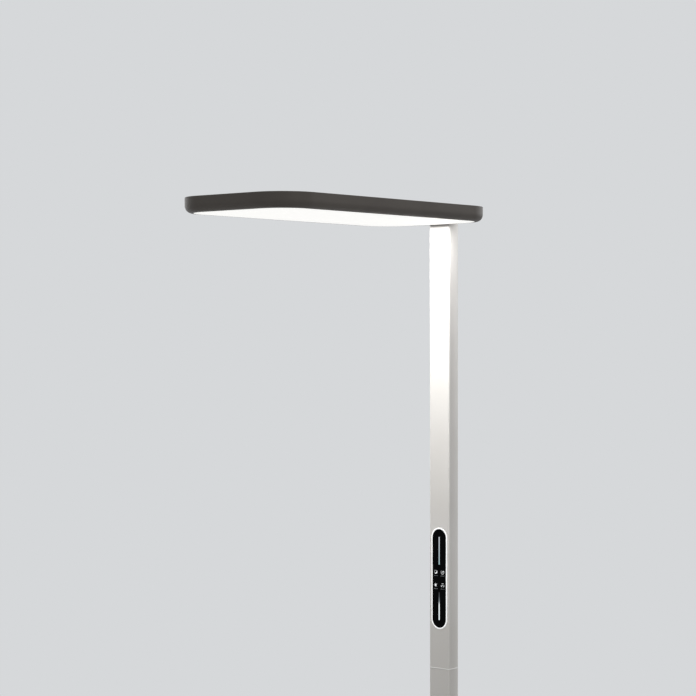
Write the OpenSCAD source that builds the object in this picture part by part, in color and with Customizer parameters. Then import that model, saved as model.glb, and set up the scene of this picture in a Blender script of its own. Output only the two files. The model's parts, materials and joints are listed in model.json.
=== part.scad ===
/* [Lamp] */
// Height from the floor to the top of the head
lamp_h = 1950; // [1750:5:2100]
// Radial clearance between a screw and the hole it passes or threads into
screw_gap = 0.05; // [0.02:0.01:0.08]
// Clearance round a part that slides into another while the lamp is put together
slip = 0.15; // [0.1:0.05:0.3]

/* [Head] */
// Length of the head, front to back
head_l = 640; // [560:5:800]
// Width of the head
head_w = 306; // [260:2:360]
// Height of the head
head_t = 30; // [30:1:36]
// Radius of the head's corners, seen from above
head_r = 76; // [60:1:95]
// Radius of the long rounding along the lower edge
edge_r = 14; // [10:0.5:14]
// Width of the frame's rim round the lit panel
rim = 15; // [15:0.5:20]
// Wall thickness of the head's frame
skin = 2.5; // [2:0.1:3]
// Thickness of the solid block behind the rear wall, which the neck bolts clamp
rear_block_t = 12; // [10:0.5:13]
// Width of that block
rear_block_w = 100; // [90:2:120]

/* [Lit panel and window] */
// How far the opal panel's flange reaches over the rim
flange = 2; // [1.5:0.25:2.5]
// Thickness of the opal panel
panel_t = 4.5; // [4:0.25:5]
// Thickness of the foam seal under the panel's flange
seal_t = 0.5; // [0.4:0.1:0.8]
// Gap round the edge of a panel in its opening
panel_gap = 0.25; // [0.2:0.05:0.5]
// Width of the window in the top cover
window_w = 230; // [180:2:236]
// Distance from the head's rear edge to the window
window_back = 255; // [230:5:300]
// Corner radius of the window
window_r = 40; // [20:1:60]
// Distance from the head's front edge to the window
window_front = 45; // [35:1:60]
// Thickness of the top cover
cover_t = 2.5; // [2:0.1:3]
// Thickness of the window's flange under the cover
window_flange_t = 1.5; // [1:0.1:2]

/* [Inside the head] */
// Height of the carrier plate's underside above the lit face
spreader_z = 14; // [13:0.5:15]
// Thickness of the carrier plate that takes the heat of the diodes
spreader_t = 2; // [1.5:0.1:2.5]
// Gap between the carrier plate and the frame's wall
spreader_gap = 1; // [0.6:0.1:2]
// Thickness of every circuit board
board_t = 1.6; // [1:0.1:2]
// Side of a diode package
diode_w = 3; // [2:0.1:4]
// Height of a diode package
diode_t = 0.8; // [0.5:0.1:1.2]
// Diodes along each side of a downward board
down_grid = 5; // [3:1:6]
// Margin between the downward boards and the rim
down_margin = 12; // [8:1:20]
// Gap between neighbouring boards
board_gap = 6; // [4:1:10]
// Width of an upward board
up_board_w = 90; // [60:1:100]
// Diodes along an upward board
up_count = 8; // [4:1:10]
// Radius of the screw pillars inside the frame
pillar_r = 3.5; // [3:0.1:3.6]
// Distance of the pillars' centres from the head's outer face
pillar_in = 9; // [8.8:0.1:9.2]
// Radius of the small screws' shanks
small_r = 1.5; // [1.25:0.25:1.5]
// Radius of the small screws' heads
small_head_r = 2.8; // [2.4:0.1:3]
// Height of the small screws' heads
small_head_t = 1.3; // [1:0.1:1.4]
// How far the small screws reach into their pillars
small_grip = 6; // [4:0.5:8]
// Length of the dimming board
dimmer_length = 88; // [60:1:100]
// Width of the dimming board
dimmer_w = 160; // [100:2:180]
// Distance from the head's rear edge to the dimming board
dimmer_back = 125; // [122:1:135]
// Height of the dimming board's pillars
dimmer_lift = 4; // [3:0.5:4.5]
// Distance of the dimming board's pillars from its edges
dimmer_pillar_in = 6; // [5:0.5:8]
// Width of the choke on the dimming board
choke_w = 32; // [20:1:34]
// Length of the choke
choke_l = 36; // [20:1:45]
// Sideways distance of the choke's middle from the board's middle
choke_x = 48; // [46:1:50]
// Width of the driver chip on the dimming board
chip_w = 24; // [15:1:30]
// Length of the driver chip
chip_l = 20; // [12:1:30]
// Height of the driver chip
chip_t = 2.5; // [1.5:0.1:3]
// Radius of the capacitors on the dimming board
capacitor_r = 4; // [3:0.25:4.5]
// Distance between the capacitors' centres
capacitor_dx = 11; // [10:0.5:12]
// Sideways distance of the first capacitor from the board's middle
capacitor_x = 29; // [22:1:31]
// Headroom between the dimming board's tallest piece and the cover
dimmer_room = 1; // [0.5:0.1:2]

/* [Neck] */
// Radius of the neck bolts
bolt_r = 3; // [2.5:0.5:3]
// Radius of the neck bolts' heads
bolt_head_r = 5; // [4.4:0.1:5]
// Height of the neck bolts' heads
bolt_head_t = 4; // [3:0.5:4.5]
// Sideways distance between the two columns of neck bolts
bolt_dx = 36; // [34:1:36]
// Height of the lower row of neck bolts above the lit face
bolt_z = 10; // [9.8:0.1:10.2]
// Upward distance between the two rows of neck bolts
bolt_dz = 12; // [11.5:0.25:12]
// Thickness of the steel bracket's upright
bracket_t = 3; // [2:0.5:4]
// Thickness of the steel bracket's arms
arm_t = 3; // [2:0.25:3.5]
// Width of the steel bracket
bracket_w = 80; // [70:1:90]
// Reach of the bracket's arms from the head's rear edge
bracket_reach = 110; // [90:1:118]
// Slot between the bracket's two arms
arm_slot = 16; // [12:1:18]
// Sideways distance between the bracket's screws
bracket_screw_dx = 56; // [50:1:60]
// Distance between the two pairs of bracket screws
bracket_screw_dy = 50; // [40:1:56]
// Distance of the front pair from the ends of the arms
bracket_screw_in = 10; // [8:1:15]
// Thickness of the nut plate inside the post
nut_plate_t = 8; // [6:0.5:9]
// Width of the nut plate
nut_plate_w = 44; // [43:0.5:45]
// Height of the nut plate
nut_plate_h = 21; // [19:0.5:21.5]

/* [Post] */
// Width of the post
post_w = 53; // [51:0.5:56]
// Depth of the post, front to back
post_d = 49; // [47:0.5:56]
// Radius of the post's front edges
front_r = 3; // [2.8:0.1:4]
// Radius of the gently bowed sides of the post
side_r = 80; // [74:1:110]
// Distance behind the front face at which the post is widest
side_y = 6; // [4:0.5:8]
// Wall thickness of the post
wall = 2.5; // [2:0.1:2.7]
// Height of the joint between the two halves of the post
seam_z = 990; // [900:5:1000]
// Height of the bright ring in that joint
seam_t = 0.8; // [0.6:0.1:3]
// How far the joint's bright ring stands out of the post's surface
seam_out = 0.3; // [0:0.1:0.5]
// Length of the spigot that joins the halves
spigot_l = 150; // [140:2:160]
// Wall thickness of the spigot
spigot_wall = 4; // [3:0.25:5]
// Distance from the joint to the first screw of the spigot
spigot_screw_z = 28; // [20:1:30]
// Distance between the two screws on each side of the joint
spigot_screw_dz = 34; // [25:1:36]
// Radius of the grub screws in the post
grub_r = 2.5; // [2:0.25:3]
// Length of the grub screws
grub_l = 6; // [5:0.25:6.5]
// How far a grub screw sits below the post's surface
grub_in = 0.5; // [0.3:0.1:1]
// Thickness of the cap on the post
cap_t = 3; // [2:0.5:4]
// Depth of the cap's plug inside the post
cap_plug = 10; // [5:1:12]

/* [Control panel] */
// Width of the black glass
glass_w = 36; // [30:0.5:37]
// Height of the black glass
glass_h = 207; // [180:1:215]
// Height of the glass's middle above the floor
glass_z = 1179; // [1170:1:1200]
// Thickness of the black glass
glass_t = 2.2; // [1.8:0.1:2.4]
// How far the glass stands out of the post's face
glass_proud = 0.5; // [0.2:0.1:0.8]
// Width of the bright ring round the glass
bezel_w = 2.6; // [1:0.1:2.8]
// How far the bright ring stands out of the post's face
bezel_proud = 0.8; // [0.4:0.1:1.2]
// Gap round the glass inside its ring
glass_gap = 0.1; // [0.05:0.05:0.2]
// Width of the lit strips
strip_w = 2.7; // [2.4:0.1:5]
// Length of the lit strips
strip_l = 58; // [50:1:60]
// Distance from the glass's middle to the nearest end of a strip
strip_from = 29; // [26:1:32]
// Depth of the tray behind the glass
tray_d = 12; // [10:0.5:14]
// Wall thickness of the tray
tray_wall = 1.5; // [1:0.1:2]
// Length of the tray's snap tongues behind the post's wall
tongue_l = 8; // [5:0.5:12]
// Width of the tray's snap tongues
tongue_w = 12; // [8:1:16]
// Gap between the glass and the control board, which the touch springs fill
touch_gap = 1.6; // [1.2:0.1:2.4]
// Radius of the touch springs behind the glass
touch_r = 4.5; // [3:0.25:5.5]
// Radius of the lead from the control board to the loom
signal_r = 1.7; // [1:0.1:2]
// Distance of that lead below the glass's middle
signal_z = 51; // [40:1:60]
// Sideways distance between touch springs
touch_dx = 17; // [15:0.5:18]
// Upward distance between touch springs
touch_dz = 27; // [22:1:32]

/* [Power] */
// Width of the power supply
supply_w = 36; // [30:1:38]
// Depth of the power supply
supply_d = 26; // [20:1:26]
// Length of the power supply
supply_l = 260; // [200:5:320]
// Height of the power supply's lower end above the base
supply_z = 180; // [160:5:220]
// Radius of the power supply's long edges
supply_r = 2; // [1:0.5:4]
// Thickness of the foam pads in front of the power supply
supply_pad_t = 5; // [4:0.5:6]
// Width of the foam pads
supply_pad_w = 18; // [12:1:28]
// Length of the foam pads
supply_pad_l = 26; // [15:1:40]
// Distance of the foam pads from the power supply's ends
supply_pad_in = 26; // [10:1:40]
// Radius of the two leads from the terminals to the power supply
lead_r = 1.2; // [0.8:0.1:1.5]
// Sideways distance between those two leads
lead_dx = 15; // [10:1:20]
// Radius of the wiring loom
loom_r = 2.4; // [2:0.1:2.6]
// Distance of the loom behind the post's front face
loom_y = 28; // [27:0.5:30]
// Radius of the loom's bend at the top of the post
loom_bend = 12; // [10:0.5:14]
// Radius of the hole that the loom passes
loom_hole_r = 3.5; // [3:0.1:4]
// Height of the loom in the head above the lit face
loom_z = 20; // [19.9:0.1:20.2]
// Height of the terminal block
terminal_h = 30; // [26:1:34]
// Width of the terminal block
terminal_w = 30; // [24:1:34]
// Depth of the terminal block
terminal_d = 14; // [10:1:16]
// Distance of the terminal block behind the post's front face
terminal_y = 8; // [5:1:10]
// Sideways distance between the terminal block's screw holes
terminal_dx = 9; // [7:0.5:11]
// Distance of the screw holes below the terminal block's top
terminal_in = 7; // [4:0.5:10]
// Radius of the mains lead's bore in the gland
gland_bore_r = 3.7; // [3.5:0.1:4]
// Radius of the gland's shank
gland_shank_r = 6; // [5.5:0.25:6.5]
// Radius of the gland's head
gland_head_r = 9; // [8:0.25:10]
// How far the gland's head stands out behind the post
gland_out = 9; // [6:0.5:12]
// Thickness of the gland's nut
gland_nut_t = 4; // [3:0.5:5]
// How loosely the lead lies in the gland's bore
lead_gap = 0.2; // [0.1:0.05:0.4]

/* [Base] */
// Length of the base plate, front to back
base_l = 420; // [380:5:480]
// Width of the base plate
base_w = 300; // [260:5:306]
// Corner radius of the base plate
base_r = 60; // [40:1:80]
// Thickness of the base plate
base_t = 12; // [11:0.5:15]
// Radius along the plate's top edge
base_edge = 2; // [1:0.25:3]
// Distance from the post's front face to the plate's rear edge
base_back = 70; // [64:1:90]
// Height of the foot block inside the post
foot_h = 80; // [70:1:90]
// Sideways distance between the foot bolts
foot_dx = 26; // [24:1:28]
// Distance between the rows of foot bolts
foot_dy = 20; // [18:1:22]
// Distance of the foot bolts' middle behind the post's front face
foot_y = 22; // [21:1:23]
// How far the foot bolts reach into the foot block
foot_grip = 22; // [15:1:25]
// Height of the lower screw in the foot block
foot_screw_z = 24; // [20:1:26]
// Distance between the two screws in the foot block
foot_screw_dz = 34; // [30:1:38]

/* [Glides] */
// Radius of a glide's pad
pad_r = 15; // [12:0.5:18]
// Height of a glide's pad
pad_t = 5; // [4:0.5:6]
// Chamfer round the top of a glide's pad
pad_chamfer = 2; // [1:0.25:2.5]
// Radius of a glide's threaded stud
stud_r = 4; // [3:0.5:5]
// Depth of a stud in the base plate
stud_in = 9; // [8:0.25:9]
// How deep a stud is moulded into its pad
stud_cast = 3; // [2:0.25:3.5]
// Distance of the glides from the plate's edges
pad_inset = 36; // [30:1:50]

/* [Hidden] */
$fn = 96;

// A cut runs this far past a face, so that no skin is left
past = 1;
// Share of a screw's radius that its hexagonal socket takes
socket = 0.8;
// Smallest radius of an inner corner in the post
least_r = 0.4;

// Heights above the floor
base_z = pad_t;
base_top = base_z + base_t;
panel_z = lamp_h - head_t;
upper_z = seam_z + seam_t;
tube_top = lamp_h - cap_t;
supply_bottom = base_top + supply_z;
supply_top = supply_bottom + supply_l;
terminal_z = base_top + foot_h;
gland_z = terminal_z + terminal_h / 2;

// Heights above the lit face
cover_z = head_t - cover_t;
spreader_top = spreader_z + spreader_t;

// Where the post's front face stands, with the frame's origin at the middle of the footprint
post_y = (head_l - base_back) / 2;

// The post's section: two side arcs run into one rear arc without a corner
side_x = side_r - post_w / 2;
back_run = post_d - side_y;
back_r = (pow(side_r, 2) - pow(side_x, 2) - pow(back_run, 2)) / (2 * (side_r - back_run));
back_y = post_d - back_r;

// The gland's flat nut meets the round inside of the post with its edge
gland_inner_y = back_y + sqrt(pow(back_r - wall, 2) - pow(gland_head_r, 2)) - gland_nut_t;

// The window lies between its two distances from the head's ends
window_l = head_l - window_front - window_back;

// Screw places along the head, counted from its middle
pillar_x = head_w / 2 - pillar_in;
pillar_step = (head_l - 2 * head_r) / 6;
cover_steps = [-3, -1, 1, 3];
spreader_steps = [-2, 0, 2];

// Places of the four glides
glide_x = base_w / 2 - pad_inset;
glide_y = [for (s = [0, 1]) base_back - pad_inset - s * (base_l - 2 * pad_inset)];

// Half the width of the post at a distance behind its front face
function half_width(y, inset) = sqrt(pow(side_r - inset, 2) - pow(y - side_y, 2)) - side_x;

// Puts the lamp's own places into the frame whose origin is under the middle of the footprint
module set_out() {
    translate([0, post_y, 0])
        children();
}

module in_head() {
    set_out()
        translate([0, 0, panel_z])
            children();
}

// Flat shapes

module rounded_rectangle(w, l, r) {
    square([w - 2 * r, l], center = true);
    square([w, l - 2 * r], center = true);
    for (x = [-1, 1], y = [-1, 1])
        translate([x * (w / 2 - r), y * (l / 2 - r)])
            circle(r = r);
}

// The head's outline, set in from its outer face
module head_plan(inset) {
    translate([0, -head_l / 2])
        rounded_rectangle(head_w - 2 * inset, head_l - 2 * inset, head_r - inset);
}

module window_plan(grow) {
    translate([0, window_front + window_l / 2 - head_l])
        rounded_rectangle(window_w + 2 * grow, window_l + 2 * grow, window_r + grow);
}

// Upright capsule, as wide as w and as tall as h
module capsule(w, h) {
    square([w, h - w], center = true);
    for (s = [-1, 1])
        translate([0, s * (h - w) / 2])
            circle(d = w);
}

// The post's section, set in from its outer face
module post_section(inset) {
    corner = max(front_r - inset, least_r);
    from_y = inset + corner;
    to_y = back_y + (back_r - inset) * (back_y - side_y) / (side_r - back_r);
    corner_x = half_width(from_y, inset) - corner;
    translate([0, back_y])
        circle(r = back_r - inset);
    intersection() {
        translate([side_x, side_y])
            circle(r = side_r - inset, $fn = 360);
        translate([-side_x, side_y])
            circle(r = side_r - inset, $fn = 360);
        translate([-post_w, from_y])
            square([2 * post_w, to_y - from_y]);
    }
    translate([-corner_x, inset])
        square([2 * corner_x, corner + past]);
    for (s = [-1, 1])
        translate([s * corner_x, from_y])
            circle(r = corner);
}

module post_length(from_z, to_z, inset) {
    translate([0, 0, from_z])
        linear_extrude(height = to_z - from_z)
            post_section(inset);
}

// Lies along Y from y to y + l
module rod_y(r, y, l) {
    translate([0, y, 0])
        rotate([-90, 0, 0])
            cylinder(r = r, h = l);
}

// Flat shape drawn in X and Z, given a thickness along Y
module upright(y, t) {
    translate([0, y + t, 0])
        rotate([90, 0, 0])
            linear_extrude(height = t)
                children();
}

// The frame of the head

// Everything inside the frame's outer face, set in by inset: x inward from the side, y up
module edge_region(inset, reach, top) {
    translate([edge_r, inset])
        square([reach - edge_r, top - inset]);
    translate([inset, edge_r])
        square([edge_r - inset, top - edge_r]);
    intersection() {
        translate([edge_r, edge_r])
            circle(r = edge_r - inset);
        square(edge_r);
    }
}

module frame_profile() {
    difference() {
        edge_region(0, rim, head_t);
        edge_region(skin, rim + past, head_t + past);
    }
}

module frame_side(length) {
    rotate([90, 0, 0])
        linear_extrude(height = length)
            frame_profile();
}

module frame_ring() {
    long = head_l - 2 * head_r;
    short = head_w - 2 * head_r;
    translate([-head_w / 2, -head_r, 0])
        frame_side(long);
    translate([head_w / 2, -head_r - long, 0])
        rotate([0, 0, 180])
            frame_side(long);
    translate([-short / 2, -head_l, 0])
        rotate([0, 0, 90])
            frame_side(short);
    translate([short / 2, 0, 0])
        rotate([0, 0, -90])
            frame_side(short);
    for (x = [0, 1], y = [0, 1])
        translate([(x - 0.5) * short, -head_r - y * long, 0])
            rotate([0, 0, x == 1 ? -90 * y : 90 + 90 * y])
                rotate_extrude(angle = 90)
                    translate([head_r, 0])
                        mirror([1, 0])
                            frame_profile();
}

// Places of the pillars that carry the cover, and of those that carry the spreader
module at_cover_pillars() {
    for (x = [-1, 1], k = cover_steps)
        translate([x * pillar_x, -head_l / 2 + k * pillar_step, 0])
            children();
}

module at_spreader_pillars() {
    for (x = [-1, 1], k = spreader_steps)
        translate([x * pillar_x, -head_l / 2 + k * pillar_step, 0])
            children();
    translate([0, pillar_in - head_l, 0])
        children();
}

module at_neck_bolts() {
    for (x = [-1, 1], k = [0, 1])
        translate([x * bolt_dx / 2, 0, bolt_z + k * bolt_dz])
            children();
}

module head_frame() {
    foot_z = skin + seal_t;
    color([0.26, 0.25, 0.245])
        in_head()
            difference() {
                union() {
                    frame_ring();
                    translate([rear_block_w / 2, 0, 0])
                        rotate([0, 0, -90])
                            rotate([90, 0, 0])
                                linear_extrude(height = rear_block_w)
                                    intersection() {
                                        edge_region(0, rim, cover_z);
                                        square([rear_block_t, cover_z]);
                                    }
                    at_cover_pillars()
                        translate([0, 0, foot_z])
                            cylinder(r = pillar_r, h = cover_z - foot_z);
                    at_spreader_pillars()
                        translate([0, 0, foot_z])
                            cylinder(r = pillar_r, h = spreader_z - foot_z);
                }
                at_cover_pillars()
                    translate([0, 0, foot_z + past])
                        cylinder(r = small_r + screw_gap, h = head_t);
                at_spreader_pillars()
                    translate([0, 0, foot_z + past])
                        cylinder(r = small_r + screw_gap, h = head_t);
                at_neck_bolts()
                    rod_y(bolt_r + screw_gap, -rear_block_t - past, rear_block_t + 2 * past);
                translate([0, 0, loom_z])
                    rod_y(loom_hole_r, -rear_block_t - past, rear_block_t + 2 * past);
            }
}

// The lit panel, the window and what carries them

module lens_seal() {
    color([0.1, 0.1, 0.1])
        in_head()
            translate([0, 0, skin])
                linear_extrude(height = seal_t)
                    difference() {
                        head_plan(max(rim - flange, edge_r));
                        head_plan(rim);
                    }
}

module lower_diffuser() {
    shelf = skin + seal_t;
    color([0.97, 0.97, 0.96])
        in_head()
            union() {
                linear_extrude(height = panel_t)
                    head_plan(rim + panel_gap);
                translate([0, 0, shelf])
                    linear_extrude(height = panel_t - shelf)
                        head_plan(rim - flange);
            }
}

module heat_spreader() {
    notch_w = bracket_w + 4 * panel_gap;
    notch_l = rear_block_t + bracket_t + bolt_head_t + past;
    color([0.8, 0.81, 0.82])
        in_head()
            difference() {
                translate([0, 0, spreader_z])
                    linear_extrude(height = spreader_t)
                        head_plan(skin + spreader_gap);
                translate([-rear_block_w / 2 - panel_gap, -rear_block_t - panel_gap, spreader_z - past])
                    cube([rear_block_w + 2 * panel_gap, rear_block_t + past, spreader_t + 2 * past]);
                translate([-notch_w / 2, -notch_l, spreader_z - past])
                    cube([notch_w, notch_l, spreader_t + 2 * past]);
                at_cover_pillars()
                    cylinder(r = pillar_r + panel_gap, h = head_t);
                at_spreader_pillars()
                    cylinder(r = small_r + screw_gap, h = head_t);
                at_bracket_screws()
                    cylinder(r = small_r + screw_gap, h = head_t);
                at_dimming_pillars()
                    cylinder(r = small_r + screw_gap, h = head_t);
            }
}

// A board with its diodes: w along X, l along Y, the diodes on the side that faces up
module diode_board(w, l, across, along) {
    translate([-w / 2, -l / 2, 0])
        cube([w, l, board_t]);
    for (i = [0 : across - 1], j = [0 : along - 1])
        translate([
            ((i + 0.5) / across - 0.5) * w - diode_w / 2,
            ((j + 0.5) / along - 0.5) * l - diode_w / 2,
            board_t - diode_t / 2
        ])
            cube([diode_w, diode_w, diode_t * 1.5]);
}

module down_board(x, y) {
    field_w = head_w - 2 * (rim + down_margin);
    field_l = head_l - 2 * (rim + down_margin);
    w = (field_w - board_gap) / 2;
    l = (field_l - board_gap) / 2;
    color([0.93, 0.94, 0.9])
        in_head()
            translate([x * (w + board_gap) / 2, -head_l / 2 + y * (l + board_gap) / 2, spreader_z])
                mirror([0, 0, 1])
                    diode_board(w, l, down_grid, down_grid);
}

module down_board_1() {
    down_board(-1, -1);
}

module down_board_2() {
    down_board(1, -1);
}

module down_board_3() {
    down_board(-1, 1);
}

module down_board_4() {
    down_board(1, 1);
}

module up_board(x) {
    color([0.93, 0.94, 0.9])
        in_head()
            translate([
                x * (up_board_w + board_gap) / 2,
                window_front + window_l / 2 - head_l,
                spreader_top
            ])
                diode_board(up_board_w, window_l - board_gap, 2, up_count);
}

module up_board_1() {
    up_board(-1);
}

module up_board_2() {
    up_board(1);
}

module upper_window() {
    color([0.92, 0.94, 0.95])
        in_head()
            translate([0, 0, cover_z - window_flange_t])
                union() {
                    linear_extrude(height = cover_t + window_flange_t)
                        window_plan(-panel_gap);
                    linear_extrude(height = window_flange_t)
                        window_plan(2 * flange);
                }
}

module top_cover() {
    color([0.26, 0.25, 0.245])
        in_head()
            difference() {
                translate([0, 0, cover_z])
                    linear_extrude(height = cover_t)
                        difference() {
                            head_plan(skin + panel_gap);
                            window_plan(0);
                        }
                at_cover_pillars() {
                    cylinder(r = small_r + screw_gap, h = head_t + past);
                    translate([0, 0, head_t - small_head_t - panel_gap])
                        cylinder(r = small_head_r + panel_gap, h = small_head_t + past);
                }
            }
}

// Small screw with its head's underside at the origin, pointing down
module small_screw(length) {
    difference() {
        union() {
            cylinder(r = small_head_r, h = small_head_t);
            translate([0, 0, -length])
                cylinder(r = small_r, h = length + small_head_t / 2);
        }
        translate([0, 0, small_head_t / 2])
            cylinder(r = small_r * socket, h = small_head_t, $fn = 6);
    }
}

module cover_screws() {
    color([0.2, 0.2, 0.2])
        in_head()
            at_cover_pillars()
                translate([0, 0, head_t - small_head_t - panel_gap])
                    small_screw(cover_t - small_head_t - panel_gap + small_grip);
}

module spreader_screws() {
    color([0.75, 0.75, 0.76])
        in_head()
            at_spreader_pillars()
                translate([0, 0, spreader_top])
                    small_screw(spreader_t + small_grip);
}

// The neck: bracket, bolts and nut plate

module at_bracket_screws() {
    for (x = [-1, 1], y = [0, 1])
        translate([
            x * bracket_screw_dx / 2,
            bracket_screw_in - bracket_reach + y * bracket_screw_dy,
            0
        ])
            children();
}

module head_bracket() {
    upright_z = skin + seal_t + panel_t / 2;
    reach = bracket_reach - rear_block_t;
    color([0.55, 0.56, 0.57])
        in_head()
            difference() {
                union() {
                    translate([-bracket_w / 2, -rear_block_t - bracket_t, upright_z])
                        cube([bracket_w, bracket_t, cover_z - upright_z - panel_gap]);
                    translate([-bracket_w / 2, -bracket_reach, spreader_top])
                        cube([bracket_w, reach, arm_t]);
                }
                translate([-arm_slot / 2, -bracket_reach - past, spreader_top - past])
                    cube([arm_slot, reach - bracket_t + past, arm_t + 2 * past]);
                for (x = [-1, 1])
                    translate([
                        x * bolt_dx / 2 - bolt_head_r - panel_gap,
                        -rear_block_t - bracket_t - bolt_head_t - panel_gap,
                        spreader_top - past
                    ])
                        cube([2 * (bolt_head_r + panel_gap), bolt_head_t + panel_gap, arm_t + 2 * past]);
                at_neck_bolts()
                    rod_y(bolt_r + screw_gap, -bracket_reach, bracket_reach);
                translate([0, 0, loom_z])
                    rod_y(loom_hole_r, -bracket_reach, bracket_reach);
                at_bracket_screws()
                    cylinder(r = small_r + screw_gap, h = head_t);
            }
}

module bracket_screws() {
    color([0.75, 0.75, 0.76])
        in_head()
            at_bracket_screws()
                translate([0, 0, spreader_top + arm_t])
                    small_screw(arm_t + spreader_t);
}

module neck_bolts() {
    head_y = -rear_block_t - bracket_t;
    shank = rear_block_t + bracket_t + wall + nut_plate_t;
    color([0.2, 0.2, 0.21])
        in_head()
            at_neck_bolts()
                difference() {
                    union() {
                        rod_y(bolt_r, head_y - past, shank + past);
                        rod_y(bolt_head_r, head_y - bolt_head_t, bolt_head_t);
                    }
                    translate([0, head_y - bolt_head_t - past, 0])
                        rotate([-90, 0, 0])
                            cylinder(r = bolt_r * socket, h = past + bolt_head_t / 2, $fn = 6);
                }
}

module nut_plate() {
    color([0.6, 0.61, 0.62])
        in_head()
            difference() {
                translate([-nut_plate_w / 2, wall, bolt_z + bolt_dz / 2 - nut_plate_h / 2])
                    cube([nut_plate_w, nut_plate_t, nut_plate_h]);
                at_neck_bolts()
                    rod_y(bolt_r + screw_gap, 0, wall + nut_plate_t + past);
                translate([0, 0, loom_z])
                    rod_y(loom_hole_r, 0, wall + nut_plate_t + past);
            }
}

// The dimming board in the rear of the head

module at_dimming_pillars() {
    for (x = [-1, 1], y = [0, 1])
        translate([
            x * (dimmer_w / 2 - dimmer_pillar_in),
            -dimmer_back - dimmer_pillar_in - y * (dimmer_length - 2 * dimmer_pillar_in),
            0
        ])
            children();
}

module dimming_pillars() {
    color([0.85, 0.8, 0.5])
        in_head()
            at_dimming_pillars()
                difference() {
                    translate([0, 0, spreader_top])
                        cylinder(r = pillar_r, h = dimmer_lift);
                    cylinder(r = small_r, h = head_t);
                }
}

module dimming_board() {
    top = spreader_top + dimmer_lift;
    tall = cover_z - top - dimmer_room;
    middle_y = -dimmer_back - dimmer_length / 2;
    color([0.1, 0.35, 0.2])
        in_head()
            difference() {
                union() {
                    translate([-dimmer_w / 2, -dimmer_back - dimmer_length, top])
                        cube([dimmer_w, dimmer_length, board_t]);
                    translate([-choke_x - choke_w / 2, middle_y - choke_l / 2, top])
                        cube([choke_w, choke_l, tall]);
                    translate([-chip_w / 2, middle_y - chip_l / 2, top])
                        cube([chip_w, chip_l, board_t + chip_t]);
                    for (k = [0 : 3])
                        translate([capacitor_x + k * capacitor_dx, middle_y, top])
                            cylinder(r = capacitor_r, h = tall);
                }
                at_dimming_pillars()
                    cylinder(r = small_r, h = head_t);
            }
}

// The post

module at_spigot_screws() {
    for (s = [-1, 1], k = [0, 1])
        translate([0, 0, seam_z + s * (spigot_screw_z + k * spigot_screw_dz)])
            children();
}

module at_foot_screws() {
    for (k = [0, 1])
        translate([0, 0, base_top + foot_screw_z + k * foot_screw_dz])
            children();
}

// Holes for grub screws through the rear wall
module grub_holes() {
    rod_y(grub_r + screw_gap, post_d - grub_in - grub_l - past / 2, grub_l + 2 * past);
}

module grub_screw() {
    difference() {
        rod_y(grub_r, post_d - grub_in - grub_l, grub_l);
        translate([0, post_d - grub_in - grub_l / 2, 0])
            rotate([-90, 0, 0])
                cylinder(r = grub_r * socket, h = grub_l, $fn = 6);
    }
}

module tube(from_z, to_z) {
    difference() {
        post_length(from_z, to_z, 0);
        post_length(from_z - past, to_z + past, wall);
    }
}

module post_upper() {
    color([0.88, 0.87, 0.855])
        set_out()
            difference() {
                tube(upper_z, tube_top);
                translate([0, 0, glass_z])
                    upright(-past, wall + 2 * past)
                        capsule(glass_w + 2 * slip, glass_h + 2 * slip);
                translate([0, 0, panel_z]) {
                    at_neck_bolts()
                        rod_y(bolt_r + screw_gap, -past, wall + 2 * past);
                    translate([0, 0, loom_z])
                        rod_y(loom_hole_r, -past, wall + 2 * past);
                }
                at_spigot_screws()
                    grub_holes();
            }
}

module post_lower() {
    color([0.88, 0.87, 0.855])
        set_out()
            difference() {
                tube(base_top, seam_z);
                at_spigot_screws()
                    grub_holes();
                at_foot_screws()
                    grub_holes();
                translate([0, 0, gland_z])
                    rod_y(gland_shank_r + slip, back_y, post_d);
            }
}

module seam_ring() {
    color([0.95, 0.95, 0.94])
        set_out()
            difference() {
                post_length(seam_z, upper_z, -seam_out);
                post_length(seam_z - past, upper_z + past, wall + slip);
            }
}

module joining_spigot() {
    color([0.75, 0.76, 0.77])
        set_out()
            difference() {
                post_length(seam_z - spigot_l / 2, seam_z + spigot_l / 2, wall + slip);
                post_length(seam_z - spigot_l, seam_z + spigot_l, wall + slip + spigot_wall);
                at_spigot_screws()
                    grub_holes();
            }
}

module spigot_screws() {
    color([0.2, 0.2, 0.21])
        set_out()
            at_spigot_screws()
                grub_screw();
}

module post_cap() {
    plug_y = wall + nut_plate_t + past;
    loom_room = loom_y + loom_r + past;
    color([0.88, 0.87, 0.855])
        set_out()
            difference() {
                union() {
                    post_length(tube_top, lamp_h, 0);
                    intersection() {
                        post_length(tube_top - cap_plug, tube_top + past / 2, wall + slip);
                        translate([-post_w, plug_y, tube_top - cap_plug])
                            cube([2 * post_w, post_d, cap_plug + cap_t]);
                    }
                }
                translate([-loom_r - past, 0, tube_top - cap_plug - past])
                    cube([2 * (loom_r + past), loom_room, cap_plug + past]);
            }
}

// The control panel

module control_bezel() {
    outer = 2 * bezel_w;
    color([0.9, 0.9, 0.9])
        set_out()
            translate([0, 0, glass_z])
                upright(-bezel_proud, bezel_proud)
                    difference() {
                        capsule(glass_w + outer, glass_h + outer);
                        capsule(glass_w + 2 * glass_gap, glass_h + 2 * glass_gap);
                    }
}

module strip_outline(s, gap) {
    translate([0, s * (strip_from + strip_l / 2)])
        square([strip_w + 2 * gap, strip_l + 2 * gap], center = true);
}

module control_glass() {
    color([0.02, 0.02, 0.025])
        set_out()
            translate([0, 0, glass_z])
                upright(-glass_proud, glass_t)
                    difference() {
                        capsule(glass_w, glass_h);
                        strip_outline(1, glass_gap);
                        strip_outline(-1, glass_gap);
                    }
}

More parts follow.
